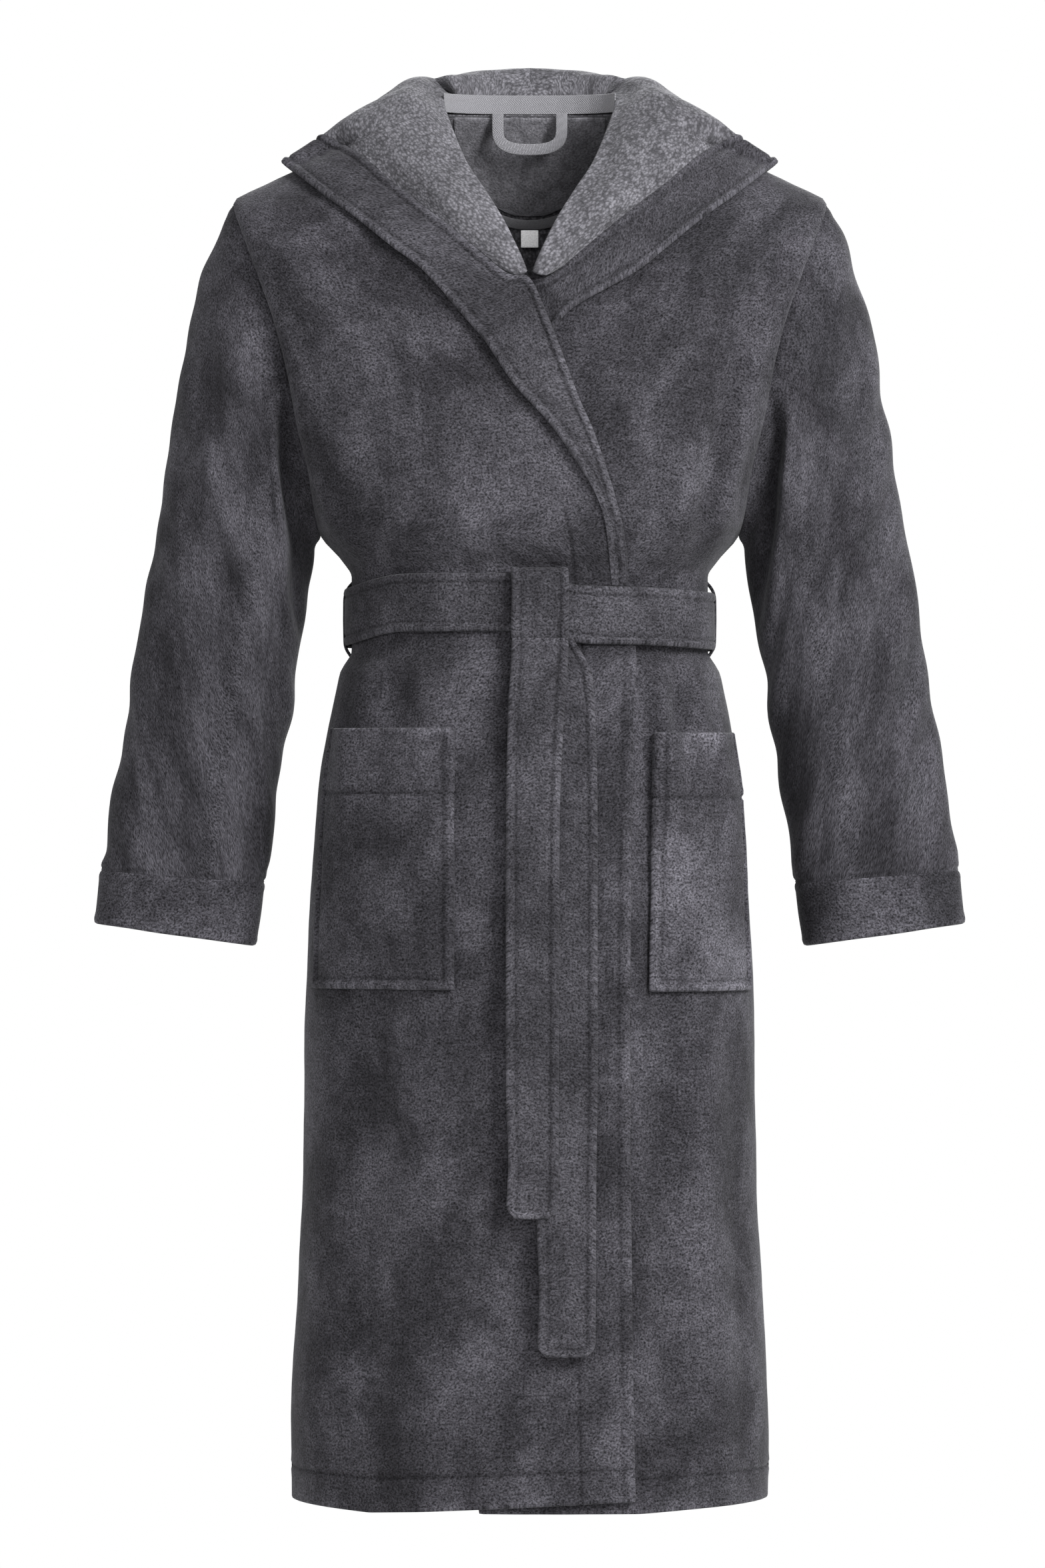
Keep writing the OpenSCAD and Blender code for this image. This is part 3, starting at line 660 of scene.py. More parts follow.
# painted shade along the hem stitch line
back = cloth("robe_back", G, (0, 1, 0), CLOTH, [VELOUR, TERRY], relief=hem_relief(ZZ), groove_shade=stitch_shade_line(ZZ, 30.0), seed=1.0)
declare(back, "robe", "hung", ["back_panel"])


def front_sheet(edge, z, n_far, near):
    """x of each column: the last ones at set distances from the front edge, the rest even in angle."""
    e = edge(z)
    near = np.array(near, float)
    far_a = ang(e - near[0] - 4.5, z)
    u = np.linspace(0, 1, n_far)
    cols = [np.degrees(0) + 0.15 + (far_a - 0.15) * v for v in u]
    X = [-hx(z) * np.sign(np.cos(np.radians(c))) * np.abs(np.cos(np.radians(c))) ** (2 / P_SQ) for c in cols]
    X += [e - d for d in near]
    return np.stack(X, 1)


def front_points(X, z, fold=True):
    a = ang(X, z)
    G, N = section(a, z, fold)
    return G, N


NEAR = [62, 56, 51, 49, 47.6, 46.4, 45.2, 44, 42.5, 40, 35, 30, 25, 21, 18, 15, 12.5, 10.5, 9.2, 8.1, 7, 5.5, 4, 2.5, 1.2, 0]
Zf = Z_FRONT[:, None] * np.ones((1, 72 + len(NEAR)))
X = front_sheet(over_edge, Z_FRONT, 72, NEAR)
G, _ = front_points(X, Zf)
G[..., 1] -= lap(X)
dist = over_edge(Zf) - X
low = smooth((905 - Zf) / 40)
fac = stitch_relief(dist, 46.4, 1.2, 1.5, 0.4) * low
edge_puff = 1.1 * np.exp(-((dist - 3.5) / 4.0) ** 2) + stitch_relief(dist, 9.2, 0.9, 1.3, 0.3) * 0.9
G = hem_lift(G, lift_over)
# painted shade along the hem, facing and front edge stitch lines
over = cloth("robe_front_over", G, FRONT, CLOTH, [VELOUR, TERRY], relief=hem_relief(Zf) + fac + edge_puff * smooth((1010 - Zf) / 60),
             groove_shade=np.maximum(stitch_shade_line(Zf, 30.0), np.maximum(stitch_shade_line(dist, 46.4) * 0.8 * low, stitch_shade_line(dist, 9.2) * 0.55)), seed=2.0)
declare(over, "robe", "hung", ["front_panel_over"])

NEAR_U = [30, 24, 18, 12, 8, 5, 2.5, 0]
Zu = Z_FRONT[:, None] * np.ones((1, 96 + len(NEAR_U)))
X = front_sheet(under_edge, Z_FRONT, 96, NEAR_U)
Gm, _ = section(180 - ang(X, Zu), Zu)
Gm = hem_lift(Gm, lift_under)
# painted shade along the hem stitch line
under = cloth("robe_front_under", Gm, FRONT, CLOTH, [VELOUR, TERRY], relief=hem_relief(Zu), groove_shade=stitch_shade_line(Zu, 30.0), seed=3.0)
declare(under, "robe", "hung", ["front_panel_under"])

# double cloth turned in along the front edges
zf = Z_FRONT[Z_FRONT < 850]
d = np.array([45, 40, 34, 28, 22, 16, 10, 6, 3.5, 1.8])
Zg = zf[:, None] * np.ones((1, len(d)))
Xg = over_edge(Zg) - d
Gg = np.stack([Xg, fy(Xg, Zg) - 1.3, Zg], -1)
Gg = hem_lift(Gg, lift_over)
Gg[..., 2] += 2.0 * np.clip(1 - Zg / 40, 0, 1)
fo = cloth("robe_facing_over", Gg, (0, 1, 0), 2.6, [VELOUR, TERRY], seed=4.0)
declare(fo, "robe", "folded", ["facing_over"])
zf = Z_FRONT[Z_FRONT < 1026]
Zg = zf[:, None] * np.ones((1, len(d)))
Xg = -under_edge(Zg) + 1.5 + d[::-1] - 1.8
Gg = np.stack([Xg, fy(Xg, Zg) + 7.5, Zg], -1)
Gg = hem_lift(Gg, lift_under)
Gg[..., 2] += 2.0 * np.clip(1 - Zg / 40, 0, 1)
fu = cloth("robe_facing_under", Gg, (0, 1, 0), 3.2, [VELOUR, TERRY], seed=5.0)
declare(fu, "robe", "folded", ["facing_under"])


# ------------------------------------------------------------------ pockets
def pocket(name, top, low_z, x_in, a0, mirror, nodes):
    H = top - low_z
    v_mm = rows_of(0.0, H, 5.0, [1.2, 2.6, 4.5, 7.0, 8.2, 9.4, 10.8, 13.0, H - 58, H - 56.4, H - 55.2, H - 54, H - 52.4, H - 2.6, H - 1.2])
    zc = low_z + v_mm
    W = np.abs(x_in)
    u_in = np.array([0, 1.2, 2.6, 4.5, 6.6, 7.8, 9.0, 10.2, 12.0, 15.0, 20.0])   # from the inner edge
    cols = 46
    rows = []
    pouch_rows = []
    for z, vm in zip(zc, v_mm):
        v = vm / H
        e = float(ang(np.array(-W), np.array(z)))
        # width across, from the side seam side to the inner edge, in millimetres of arc
        aa = np.linspace(a0, e, 260)
        P, N = section(aa, np.full_like(aa, z))
        s = np.concatenate([[0], np.cumsum(np.linalg.norm(np.diff(P, axis=0), axis=1))])
        tot = s[-1]
        out_cols = np.concatenate([[0, 1.2, 2.6, 4.5, 6.6, 7.8, 9.0, 10.2, 12.0, 15.0], np.linspace(20.0, tot - 26.0, cols), (tot - u_in)[::-1]])
        X3 = np.stack([np.interp(out_cols, s, P[:, k]) for k in range(3)], -1)
        N3 = unit(np.stack([np.interp(out_cols, s, N[:, k]) for k in range(3)], -1))
        if not mirror:
            X3[:, 1] -= lap(X3[:, 0])
        u = out_cols / tot
        gape = 13.0 * np.maximum(0, np.sin(np.pi * u)) ** 0.7 * v ** 0.8
        rows.append(X3 + N3 * (CLOTH + 1.0 + gape)[:, None])
        pouch_rows.append((out_cols, tot - out_cols, vm, H - vm))
    G = np.array(rows)
    if mirror:
        G[..., 0] *= -1
    du = np.array([np.minimum(r[0], r[1]) for r in pouch_rows])
    dv = np.array([np.full(len(r[0]), r[2]) for r in pouch_rows])
    dt = np.array([np.full(len(r[0]), r[3]) for r in pouch_rows])
    side = np.minimum(du, dv)
    rel = stitch_relief(side, 8.2, 1.3, 1.4, 0.2) + 1.3 * np.exp(-((side - 3.2) / 3.2) ** 2) + stitch_relief(dt, 55.2, 1.3, 1.5, 0.8) \
        + 0.8 * smooth((56 - dt) / 6)
    # painted shade along the pocket's stitched lines, and a painted sheen highlight along its edges and top
    stitch_shade = np.maximum(stitch_shade_line(side, 8.2) * 0.8, stitch_shade_line(dt, 55.2) * 0.9)
    ob = cloth(name, G, FRONT, CLOTH - 0.6, [VELOUR, TERRY], relief=rel, groove_shade=stitch_shade, swell=0.5, rim=3.6, seed=6.0 + mirror,
               light=0.10 * np.exp(-((side - 3.0) / 4.0) ** 2) + 0.08 * np.exp(-(dt / 6.0) ** 2))
    declare(ob, "robe", "hung", nodes)
    return ob


# the left pocket lies on the mirrored front, whose folds are not the mirrored ones: it is built there directly
def left_pocket():
    top, low_z = 682.0, 458.0
    H = top - low_z
    v_mm = rows_of(0.0, H, 5.0, [1.2, 2.6, 4.5, 7.0, 8.2, 9.4, 10.8, 13.0, H - 58, H - 56.4, H - 55.2, H - 54, H - 52.4, H - 2.6, H - 1.2])
    u_in = np.array([0, 1.2, 2.6, 4.5, 6.6, 7.8, 9.0, 10.2, 12.0, 15.0, 20.0])
    rows, dd = [], []
    for vm in v_mm:
        z = low_z + vm
        v = vm / H
        a_in = float(ang(np.array(108.0 - 2.0 * (1 - v)), np.array(z)))
        aa = np.linspace(163.0, a_in, 260)
        P, N = section(aa, np.full_like(aa, z))
        s = np.concatenate([[0], np.cumsum(np.linalg.norm(np.diff(P, axis=0), axis=1))])
        tot = s[-1]
        oc = np.concatenate([[0, 1.2, 2.6, 4.5, 6.6, 7.8, 9.0, 10.2, 12.0, 15.0], np.linspace(20.0, tot - 26.0, 36), (tot - u_in)[::-1]])
        X3 = np.stack([np.interp(oc, s, P[:, k]) for k in range(3)], -1)
        N3 = unit(np.stack([np.interp(oc, s, N[:, k]) for k in range(3)], -1))
        gape = 12.0 * np.maximum(0, np.sin(np.pi * oc / tot)) ** 0.7 * v ** 0.8
        rows.append(X3 + N3 * (CLOTH + 1.0 + gape)[:, None])
        dd.append((np.minimum(oc, tot - oc), np.full(len(oc), vm), np.full(len(oc), H - vm)))
    G = np.array(rows)
    du, dv, dt = (np.array([r[k] for r in dd]) for k in range(3))
    side = np.minimum(du, dv)
    rel = stitch_relief(side, 8.2, 1.3, 1.4, 0.2) + 1.3 * np.exp(-((side - 3.2) / 3.2) ** 2) + stitch_relief(dt, 55.2, 1.3, 1.5, 0.8) \
        + 0.8 * smooth((56 - dt) / 6)
    # painted shade along the stitched lines; painted light over the whole pocket, which sits on the lit side, and a
    # painted sheen highlight along its edges and top
    stitch_shade = np.maximum(stitch_shade_line(side, 8.2) * 0.8, stitch_shade_line(dt, 55.2) * 0.9)
    ob = cloth("robe_pocket_left", G, FRONT, CLOTH - 0.6, [VELOUR, TERRY], relief=rel, groove_shade=stitch_shade, swell=0.5, rim=3.6, seed=7.0,
               light=0.42 + 0.10 * np.exp(-((side - 3.0) / 4.0) ** 2) + 0.08 * np.exp(-(dt / 6.0) ** 2))
    declare(ob, "robe", "hung", ["pocket_left"])


pocket("robe_pocket_right", 686.0, 460.0, 67.0, 21.0, False, ["pocket_right"])
left_pocket()

# ------------------------------------------------------------------ belt
sb = np.array([0, 1.0, 2.2, 3.6, 4.8, 5.6, 6.4, 7.4, 9.5, 13, 18, 23, 28, 33, 36.5, 38.6, 39.6, 40.4, 41.2, 42.4, 43.8, 45, 46]) - 23.0
ab = np.radians(np.arange(0, 360, 1.5) + 0.75)
SB, AB = np.meshgrid(sb, ab, indexing="ij")
cx = np.sign(np.cos(AB)) * np.abs(np.cos(AB)) ** (2 / P_SQ)
sx = np.abs(np.sin(AB)) ** (2 / P_SQ)
xb = -WAIST * cx
front = np.sin(AB) >= 0
yb = np.where(front, -(111 * sx + lap(xb) + 1.2), 98 * sx + 0.9)
zb = np.where(front, belt_mid(xb), 783.5 + 1.5 * np.cos(AB))
outb = 1.3 * np.abs(np.cos(AB)) ** 2
G = np.stack([xb + np.sign(xb) * outb, yb, zb + SB], -1)
# G is the face against the cloth; the shown face lies outside it
Nb = normals(G, True)
ctr = np.array([0.0, -4.0, 0.0])
sgn = np.sign(np.sum(Nb * (G - ctr) * np.array([1, 1, 0]), -1, keepdims=True))
Nb = Nb * sgn
ds = 23 - np.abs(SB)
wave = 0.7 * np.sin(AB * 9 + 1.0) * np.cos(SB / 23 * 1.4) + 0.5 * np.sin(AB * 23 + 2.0) * np.sin(SB / 23 * 2.2)
wave = wave * np.where(np.abs(xb) > 34, 1, 0.25)
Go = G + Nb * (BELT_T - 0.2 + 0.35 * wave + 0.55)[..., None]
rel = stitch_relief(ds, 5.6, 1.0, 1.3, 0.1) + 0.7 * np.exp(-((ds - 2.6) / 2.4) ** 2)
# painted shade along the belt's stitch lines
belt = cloth("belt_waist", Go, Nb, BELT_T, [BELT, BELT], relief=rel, groove_shade=stitch_shade_line(ds, 5.6, 1.4) * 0.7, closed=True, rim=2.6, seed=8.0)
declare(belt, "robe", "hung", ["belt_waist"])

# the wrap that closes the tie: over the top of the belt, down its front, tucked in at the lower edge
prof = np.array([[-119.0, 822.0], [-121.0, 825.6], [-125.5, 828.4], [-130.5, 828.2], [-134.2, 825.0], [-136.0, 819.0],
                 [-136.6, 810.0], [-136.6, 798.0], [-136.5, 786.0], [-136.5, 776.0], [-136.4, 769.0], [-135.2, 765.5], [-132.6, 764.8]])
s = np.concatenate([[0], np.cumsum(np.linalg.norm(np.diff(prof, axis=0), axis=1))])
q = np.linspace(0, s[-1], 46)
py, pz = np.interp(q, s, prof[:, 0]), np.interp(q, s, prof[:, 1])
for _ in range(2):
    py[1:-1] = (py[:-2] + 2 * py[1:-1] + py[2:]) / 4
    pz[1:-1] = (pz[:-2] + 2 * pz[1:-1] + pz[2:]) / 4
xk = np.array([-14, -13.2, -12.2, -10.8, -9.6, -8.6, -7.6, -6.4, -3, 2, 6, 9, 12, 16, 21, 24.4, 25.6, 26.6, 27.6, 28.8, 30.2, 31.2, 32.0])
PY, XK = np.meshgrid(py, xk, indexing="ij")
PZ, _ = np.meshgrid(pz, xk, indexing="ij")
dk = np.minimum(XK + 14, 32 - XK)
G = np.stack([XK + 0.8 * np.sin(PZ / 9.0) * 0.4, PY, PZ], -1)
rel = stitch_relief(dk, 5.6, 1.0, 1.3, 0.1) + 0.6 * np.exp(-((dk - 2.6) / 2.4) ** 2)
# painted shade along the wrap's stitch lines
knot = cloth("belt_knot", G, FRONT, 3.8, [BELT, BELT], relief=rel, groove_shade=stitch_shade_line(dk, 5.6, 1.4) * 0.7, rim=2.6, seed=9.0)
declare(knot, "robe", "folded", ["belt_knot"])

# carriers at the side seams
for side, nm in ((-1, "right"), (1, "left")):
    prof = np.array([[158.5, 750.0], [160.5, 753.0], [163.2, 757.0], [164.9, 762.0], [165.3, 784.0], [165.1, 804.0], [163.8, 809.5],
                     [161.2, 814.0], [157.5, 818.0]])
    s = np.concatenate([[0], np.cumsum(np.linalg.norm(np.diff(prof, axis=0), axis=1))])
    q = np.linspace(0, s[-1], 44)
    px, pz = np.interp(q, s, prof[:, 0]), np.interp(q, s, prof[:, 1])
    for _ in range(3):
        px[1:-1] = (px[:-2] + 2 * px[1:-1] + px[2:]) / 4
    yl = np.linspace(-6, 6, 9)
    PX, YL = np.meshgrid(px, yl, indexing="ij")
    PZ, _ = np.meshgrid(pz, yl, indexing="ij")
    G = np.stack([side * PX, YL, PZ], -1)
    ob = cloth("belt_carrier_" + nm, G, (side, 0, 0), 2.2, [BELT, BELT], rim=2.0, seed=10.0, relief=0.5 * np.cos(YL / 6 * 1.3))
    declare(ob, "robe", "stretched", ["belt_loop_" + nm])

# tails
tail_tabs = {
    "front": (261, 24.7, [[261, -19], [315, -17], [374, -19], [600, -19], [705, -17], [763, -14], [775, -14]],
              [[261, 22], [300, 23], [600, 24], [705, 28], [763, 32], [775, 32]], "belt_ends", "belt_tail_front"),
    "back": (140, 20.5, [[139, 8], [195, 10], [261, 8], [600, 8], [700, 6], [735, -2], [763, -8], [775, -8]],
             [[139, 55], [300, 56], [374, 57], [625, 57], [700, 55], [735, 52], [750, 46], [763, 38], [775, 32]], "belt_ends", "belt_tail_back"),
}
for nm, (z0, off, TL, TR, body, nd) in tail_tabs.items():
    L, Rr = curve(TL), curve(TR)
    z1 = 766.0
    zt = rows_of(z0, z1, 5.0, [z0 + v for v in (0.8, 1.8, 3.2, 4.8, 6.0, 7.2, 8.6, 11, 14, 18)])
    frac_e = np.array([0, 1.0, 2.2, 3.6, 4.8, 5.8, 6.8, 8.0, 11.0])
    rows, dd = [], []
    for z in zt:
        r = max(0.0, 1 - (z - z0) / 13.0)
        c = 8.0 * r ** 2.4
        l, w = float(L(z)) + c, float(Rr(z)) - c
        hw = w - l
        k = min(1.0, hw / 34.0)
        cols = np.concatenate([l + frac_e * k, np.linspace(l + 13.5 * k, w - 13.5 * k, 6), (w - frac_e * k)[::-1]])
        xs = np.linspace(l - 2, w + 2, 9)
        bulge = float(np.max(fold_front(xs, np.full(9, min(z, 750.0))))) if z < 752 else 0.0
        bulge = max(0.0, bulge)
        curl = 0.6 * np.sin(z / 61.0 + (0 if nm == "front" else 2.0)) * (cols - (l + w) / 2) / 20
        y = float(fy(np.array(20.0), np.array(min(z, 758.0)), False)) - off - bulge + curl * smooth((740 - z) / 60)
        rows.append(np.stack([cols, y + 0 * cols, np.full(len(cols), z)], -1))
        dd.append((np.minimum(cols - l, w - cols), np.full(len(cols), z - z0)))
    G = np.array(rows)
    # even out the bulge so that the tail hangs as one soft strip
    for _ in range(6):
        G[1:-1, :, 1] = (G[:-2, :, 1] + 2 * G[1:-1, :, 1] + G[2:, :, 1]) / 4
    de = np.minimum(np.array([a for a, b in dd]), np.array([b for a, b in dd]))
    rel = stitch_relief(de, 6.2, 1.0, 1.3, 0.1) + 0.7 * np.exp(-((de - 2.8) / 2.6) ** 2)
    # painted sheen highlight at the tail's lower end; painted shade along its stitched lines
    lt = 0.22 * np.exp(-((np.array([b for a, b in dd])) / 14.0) ** 2)
    ob = cloth("belt_tail_" + nm, G, FRONT, 3.6, [BELT, BELT], relief=rel, groove_shade=stitch_shade_line(de, 6.2, 1.4) * 0.75, rim=2.8, seed=11.0 + (nm == "back"), light=lt)
    declare(ob, body, "hung", [nd])


# ------------------------------------------------------------------ neck
def npt(a, d, z):
    a = np.radians(a)
    c = np.sign(np.cos(a)) * np.abs(np.cos(a)) ** (2 / P_SQ)
    s = np.maximum(0, np.sin(a)) ** (2 / P_SQ)
    return np.stack(np.broadcast_arrays(-(82 + d) * c, (60 + d) * s, z), -1)


A, Z = np.meshgrid(np.linspace(20, 160, 120), np.array([1237.0, 1238.0, 1239.5, 1242, 1245, 1248, 1250.5, 1252.0, 1253.0]))
G = npt(A, -2.4, Z)
tape = cloth("neck_tape", G, FRONT, 1.0, [TAPE, TAPE], rim=1.2, seed=13.0, relief=0.25 * np.sin(np.radians(A) * 30) * 0.4)
declare(tape, "robe", "stretched", ["neck_tape"])

K, Uu = np.meshgrid(np.linspace(0, 1, 34), np.linspace(-1, 1, 60), indexing="ij")
Zy = 1238 - 6 - 84 * K
Wy = 67 * np.sqrt(np.maximum(0.02, 1 - (0.985 * K) ** 2))
Xy = Wy * Uu
G = np.stack([Xy, by(Xy, Zy) - CLOTH - 3.2 - 0.5 * np.abs(crumple(Xy, Zy, 3.0, 1.0)), Zy], -1)
yoke = cloth("neck_yoke", G, FRONT, 1.9, [YOKE, VELOUR], rim=2.0, seed=14.0)
declare(yoke, "robe", "stretched", ["neck_yoke"])

T, K = np.meshgrid(np.linspace(13, 167, 90), np.array([0, 0.8, 1.6, 2.6, 3.6, 4.6, 5.6, 6.3, 7.0]), indexing="ij")
Rb = 91 + K
Xb = -Rb * np.cos(np.radians(T)) * 0.87
Zb = 1234 - Rb * np.sin(np.radians(T))
G = np.stack([Xb, by(Xb, Zb) - CLOTH - 4.6 - 0.5 * np.sin(K / 7 * np.pi), Zb], -1)
bind = cloth("yoke_binding", G, FRONT, 2.4, [BIND, BIND], rim=1.4, seed=15.0)
declare(bind, "robe", "stretched", ["yoke_binding"])

# hanger loop: a flat strip bent into a U, both ends under the tape
half = 33 - 4.5
pts = []
for q in np.linspace(0, 1, 100):
    a = q * 2 - 1
    if abs(a) > 0.62:
        zz = 1236.6 - (1 - (abs(a) - 0.62) / 0.38) * 14.5
        pts.append([math.copysign(half, a), zz])
    else:
        w = a / 0.62 * math.pi / 2
        pts.append([half * math.copysign(abs(math.sin(w)) ** 0.72, w), 1222.1 - 17.5 * abs(math.cos(w)) ** 0.72])
pts = np.array(pts)
for _ in range(8):
    pts[1:-1] = (pts[:-2] + 2 * pts[1:-1] + pts[2:]) / 4
tg = unit(np.gradient(pts, axis=0))
nr = np.stack([-tg[:, 1], tg[:, 0]], -1)
wd = np.array([-4.5, -4.1, -3.4, -2.4, -1.2, 0, 1.2, 2.4, 3.4, 4.1, 4.5])
G = np.array([[[p[0] + n[0] * w, 0, p[1] + n[1] * w] for w in wd] for p, n in zip(pts, nr)])
G[..., 1] = 51.0 - 0.35 * np.cos(wd / 4.5 * 1.3)[None, :] - 1.6 * np.clip((1234 - G[..., 2]) / 30, 0, 1)
loop = cloth("hanger_loop", G, FRONT, 1.4, [TAPE, TAPE], rim=1.2, seed=16.0)
declare(loop, "loop", "hung", ["hanger_loop"])

Xl, Zl = np.meshgrid(np.linspace(-7.5, 7.5, 15), np.linspace(1135, 1120, 16))
G = np.stack([Xl, by(0 * Xl, 1135 + 0 * Zl) - CLOTH - 6.2 - 0.9 * np.sin((1135 - Zl) / 15 * 2.2) + 0.3 * np.cos(Xl / 5), Zl], -1)
lab = cloth("size_label", G, FRONT, 0.5, [LABEL, LABEL], rim=0.6, seed=17.0)
declare(lab, "label", "hung", ["size_label"])


# ------------------------------------------------------------------ hood and lapels
def cr(L, t):
    L = np.asarray(L, float)
    n = len(L) - 1
    i = int(min(math.floor(t), n - 1))
    u = t - i
    p1, p2 = L[i], L[i + 1]
    p0 = L[i - 1] if i > 0 else 2 * p1 - p2
    p3 = L[i + 2] if i + 2 <= n else 2 * p2 - p1
    return 0.5 * (2 * p1 + (p2 - p0) * u + (2 * p0 - 5 * p1 + 4 * p2 - p3) * u * u + (3 * p1 - p0 - 3 * p2 + p3) * u ** 3)


LAP_R = np.array([[[86, 812], [72, 813]], [[80, 863], [66, 866]], [[69, 903], [55, 899]], [[55, 944], [38, 928]], [[41, 976], [17, 957]],
                  [[28, 1011], [-9, 985]], [[12, 1052], [-24, 1006]], [[-1, 1083], [-38, 1028]]], float)
LAP_EDGE = [[-6, -121, 1092], [-25, -104, 1130], [-42, -84, 1158], [-58, -60, 1183], [-70, -26, 1212], [-79, 14, 1238], [-77, 36, 1247], [-68, 50, 1249]]
LAP_M1 = [[-11, -121, 1090], [-36, -110, 1127], [-57, -94, 1155], [-78, -73, 1182], [-96, -42, 1214], [-108, -2, 1250], [-104, 40, 1262], [-90, 72, 1266]]
LAP_M2 = [[-16, -120, 1088], [-48, -112, 1124], [-74, -98, 1150], [-100, -77, 1177], [-125, -46, 1208], [-148, -14, 1232], [-146, 42, 1238], [-126, 84, 1244]]
LAP_SEAM = [[-21, 1088], [-59, 1120], [-90, 1145], [-120, 1169], [-151, 1196], [-178, 1213], [-178, 1208], [-156, 1205]]
LAP_RIM = [[-52, 1044], [-90, 1088], [-118, 1110], [-150, 1136], [-182, 1160], [-216, 1188], [-208, 1183], [-180, 1168]]
TOPZ = curve([[0, 1277], [48, 1273], [90, 1265], [112, 1258], [135, 1246], [150, 1236]])
BAG = np.array([[148, 1112, 14], [128, 1062, 17], [98, 1026, 21], [52, 998, 25], [0.35, 985, 27]], float)


def lap_y(x, z, side):
    xx = x if side < 0 else -x
    return fy(xx, z) - (lap(xx) if side < 0 else 0) - 4.6 - 4 * smooth((z - 1150) / 40)


def resample(P, n, ends=0.0):
    s = np.concatenate([[0], np.cumsum(np.linalg.norm(np.diff(P, axis=0), axis=1))])
    u = np.linspace(0, 1, n)
    u = u - ends * np.sin(2 * np.pi * u) / (2 * np.pi)
    return np.stack([np.interp(u * s[-1], s, P[:, k]) for k in range(3)], -1)


def bag_y(x, z):
    return max(float(by(np.array(abs(x)), np.array(min(z, 1200.0)))) + 13, 113.0)


def bag_path(b):
    x, zf, g = -b[0], b[1], b[2]
    zt = float(TOPZ(b[0]))
    zm = (1180 + zf) / 2
    return np.array([[x, 100, zt], [x, 109, zt - 6], [x, 117 - b[0] * 0.02, zt - 24], [x, bag_y(x, 1190) + 3, 1190], [x, bag_y(x, zm), zm],
                     [x, bag_y(x, zf + 22), zf + 22], [x, bag_y(x, zf) + g / 2, zf], [x, bag_y(x, zf + 22) + g, zf + 22],
                     [x, bag_y(x, zm) + g + 4, zm], [x, bag_y(x, 1190) + g + 2, 1182 - b[0] * 0.1]])


def station(k):
    """The hood's path from the neck seam over its roll, down and up again, at the k-th of the bag's stations."""
    path = bag_path(BAG[k])
    a = 44 + 46 * (k / 4) ** 0.85
    n0 = npt(np.array(a), 0.0, 1241.0)
    if k == 4:
        n0[0] = -BAG[4][0]
    p0 = path[0]
    d = (p0 - n0)[:2]
    ln = np.linalg.norm(d)
    d = d / ln
    out = [n0]
    for r, f in ((1.2, 0.40), (7, 0.78), (16, 1.0)):
        x, y = n0[0] + d[0] * r, n0[1] + d[1] * r
        zt = float(TOPZ(abs(x)))
        out.append([x, y, 1241 + (zt - 1241) * f])
    for f in (0.45, 0.75):
        r = 16 + (ln - 16) * f
        x, y = n0[0] + d[0] * r, n0[1] + d[1] * r
        out.append([x, y, float(TOPZ(abs(x))) + 0.8])
    P = np.array(out + list(path[0:]))
    fine = np.array([cr(P, t) for t in np.linspace(0, len(P) - 1, 180)])
    return fine


NC = 84
LOOP_T = np.linspace(0.2, 7.0, 62)


def lapel_row(t, side):
    row = [cr(LAP_EDGE, t), cr(LAP_M1, t), cr(LAP_M2, t)]
    sx_, sz_ = cr(LAP_SEAM, t)
    back_w = float(smooth((t - 5) / 2))
    yo = float(lap_y(np.array(sx_), np.array(sz_), side)) * (1 - back_w) + back_w * (60 + 34 * (t - 6) if t > 6 else 60 * (t - 5))
    q = np.array([row[0], row[1], row[2], [sx_, yo, sz_]])
    return np.array([cr(q, v) for v in np.linspace(0, 3, 60)])


def hood_rows(side):
    rows = [resample(lapel_row(t, side), NC) for t in LOOP_T]
    down = rows[0] - rows[3]
    down = down / np.linalg.norm(down, axis=1, keepdims=True)
    rows = [rows[0] + down * 13.0, rows[0] + down * 6.5] + rows
    r6 = resample(lapel_row(6.0, side), NC)
    r7 = rows[-1]
    k = [resample(station(i), NC) for i in range(5)]
    mid = 0.55 * r7 + 0.45 * k[0]
    u = np.linspace(0, 1, NC)[:, None]
    mid = mid + (np.array([-163.0, 117.0, 1180.0]) - mid[-1]) * u ** 2
    knots = np.array([r6, r7, mid, k[0], k[1], k[2], k[3], k[4]])
    per = [9, 9, 9, 10, 12, 12]
    for i, nn in enumerate(per):
        for f in np.linspace(0, 1, nn + 1)[1:]:
            rows.append(cr(knots, 1 + i + f))
    G = np.array(rows)
    G[-1, :, 0] = -BAG[4][0]
    return G


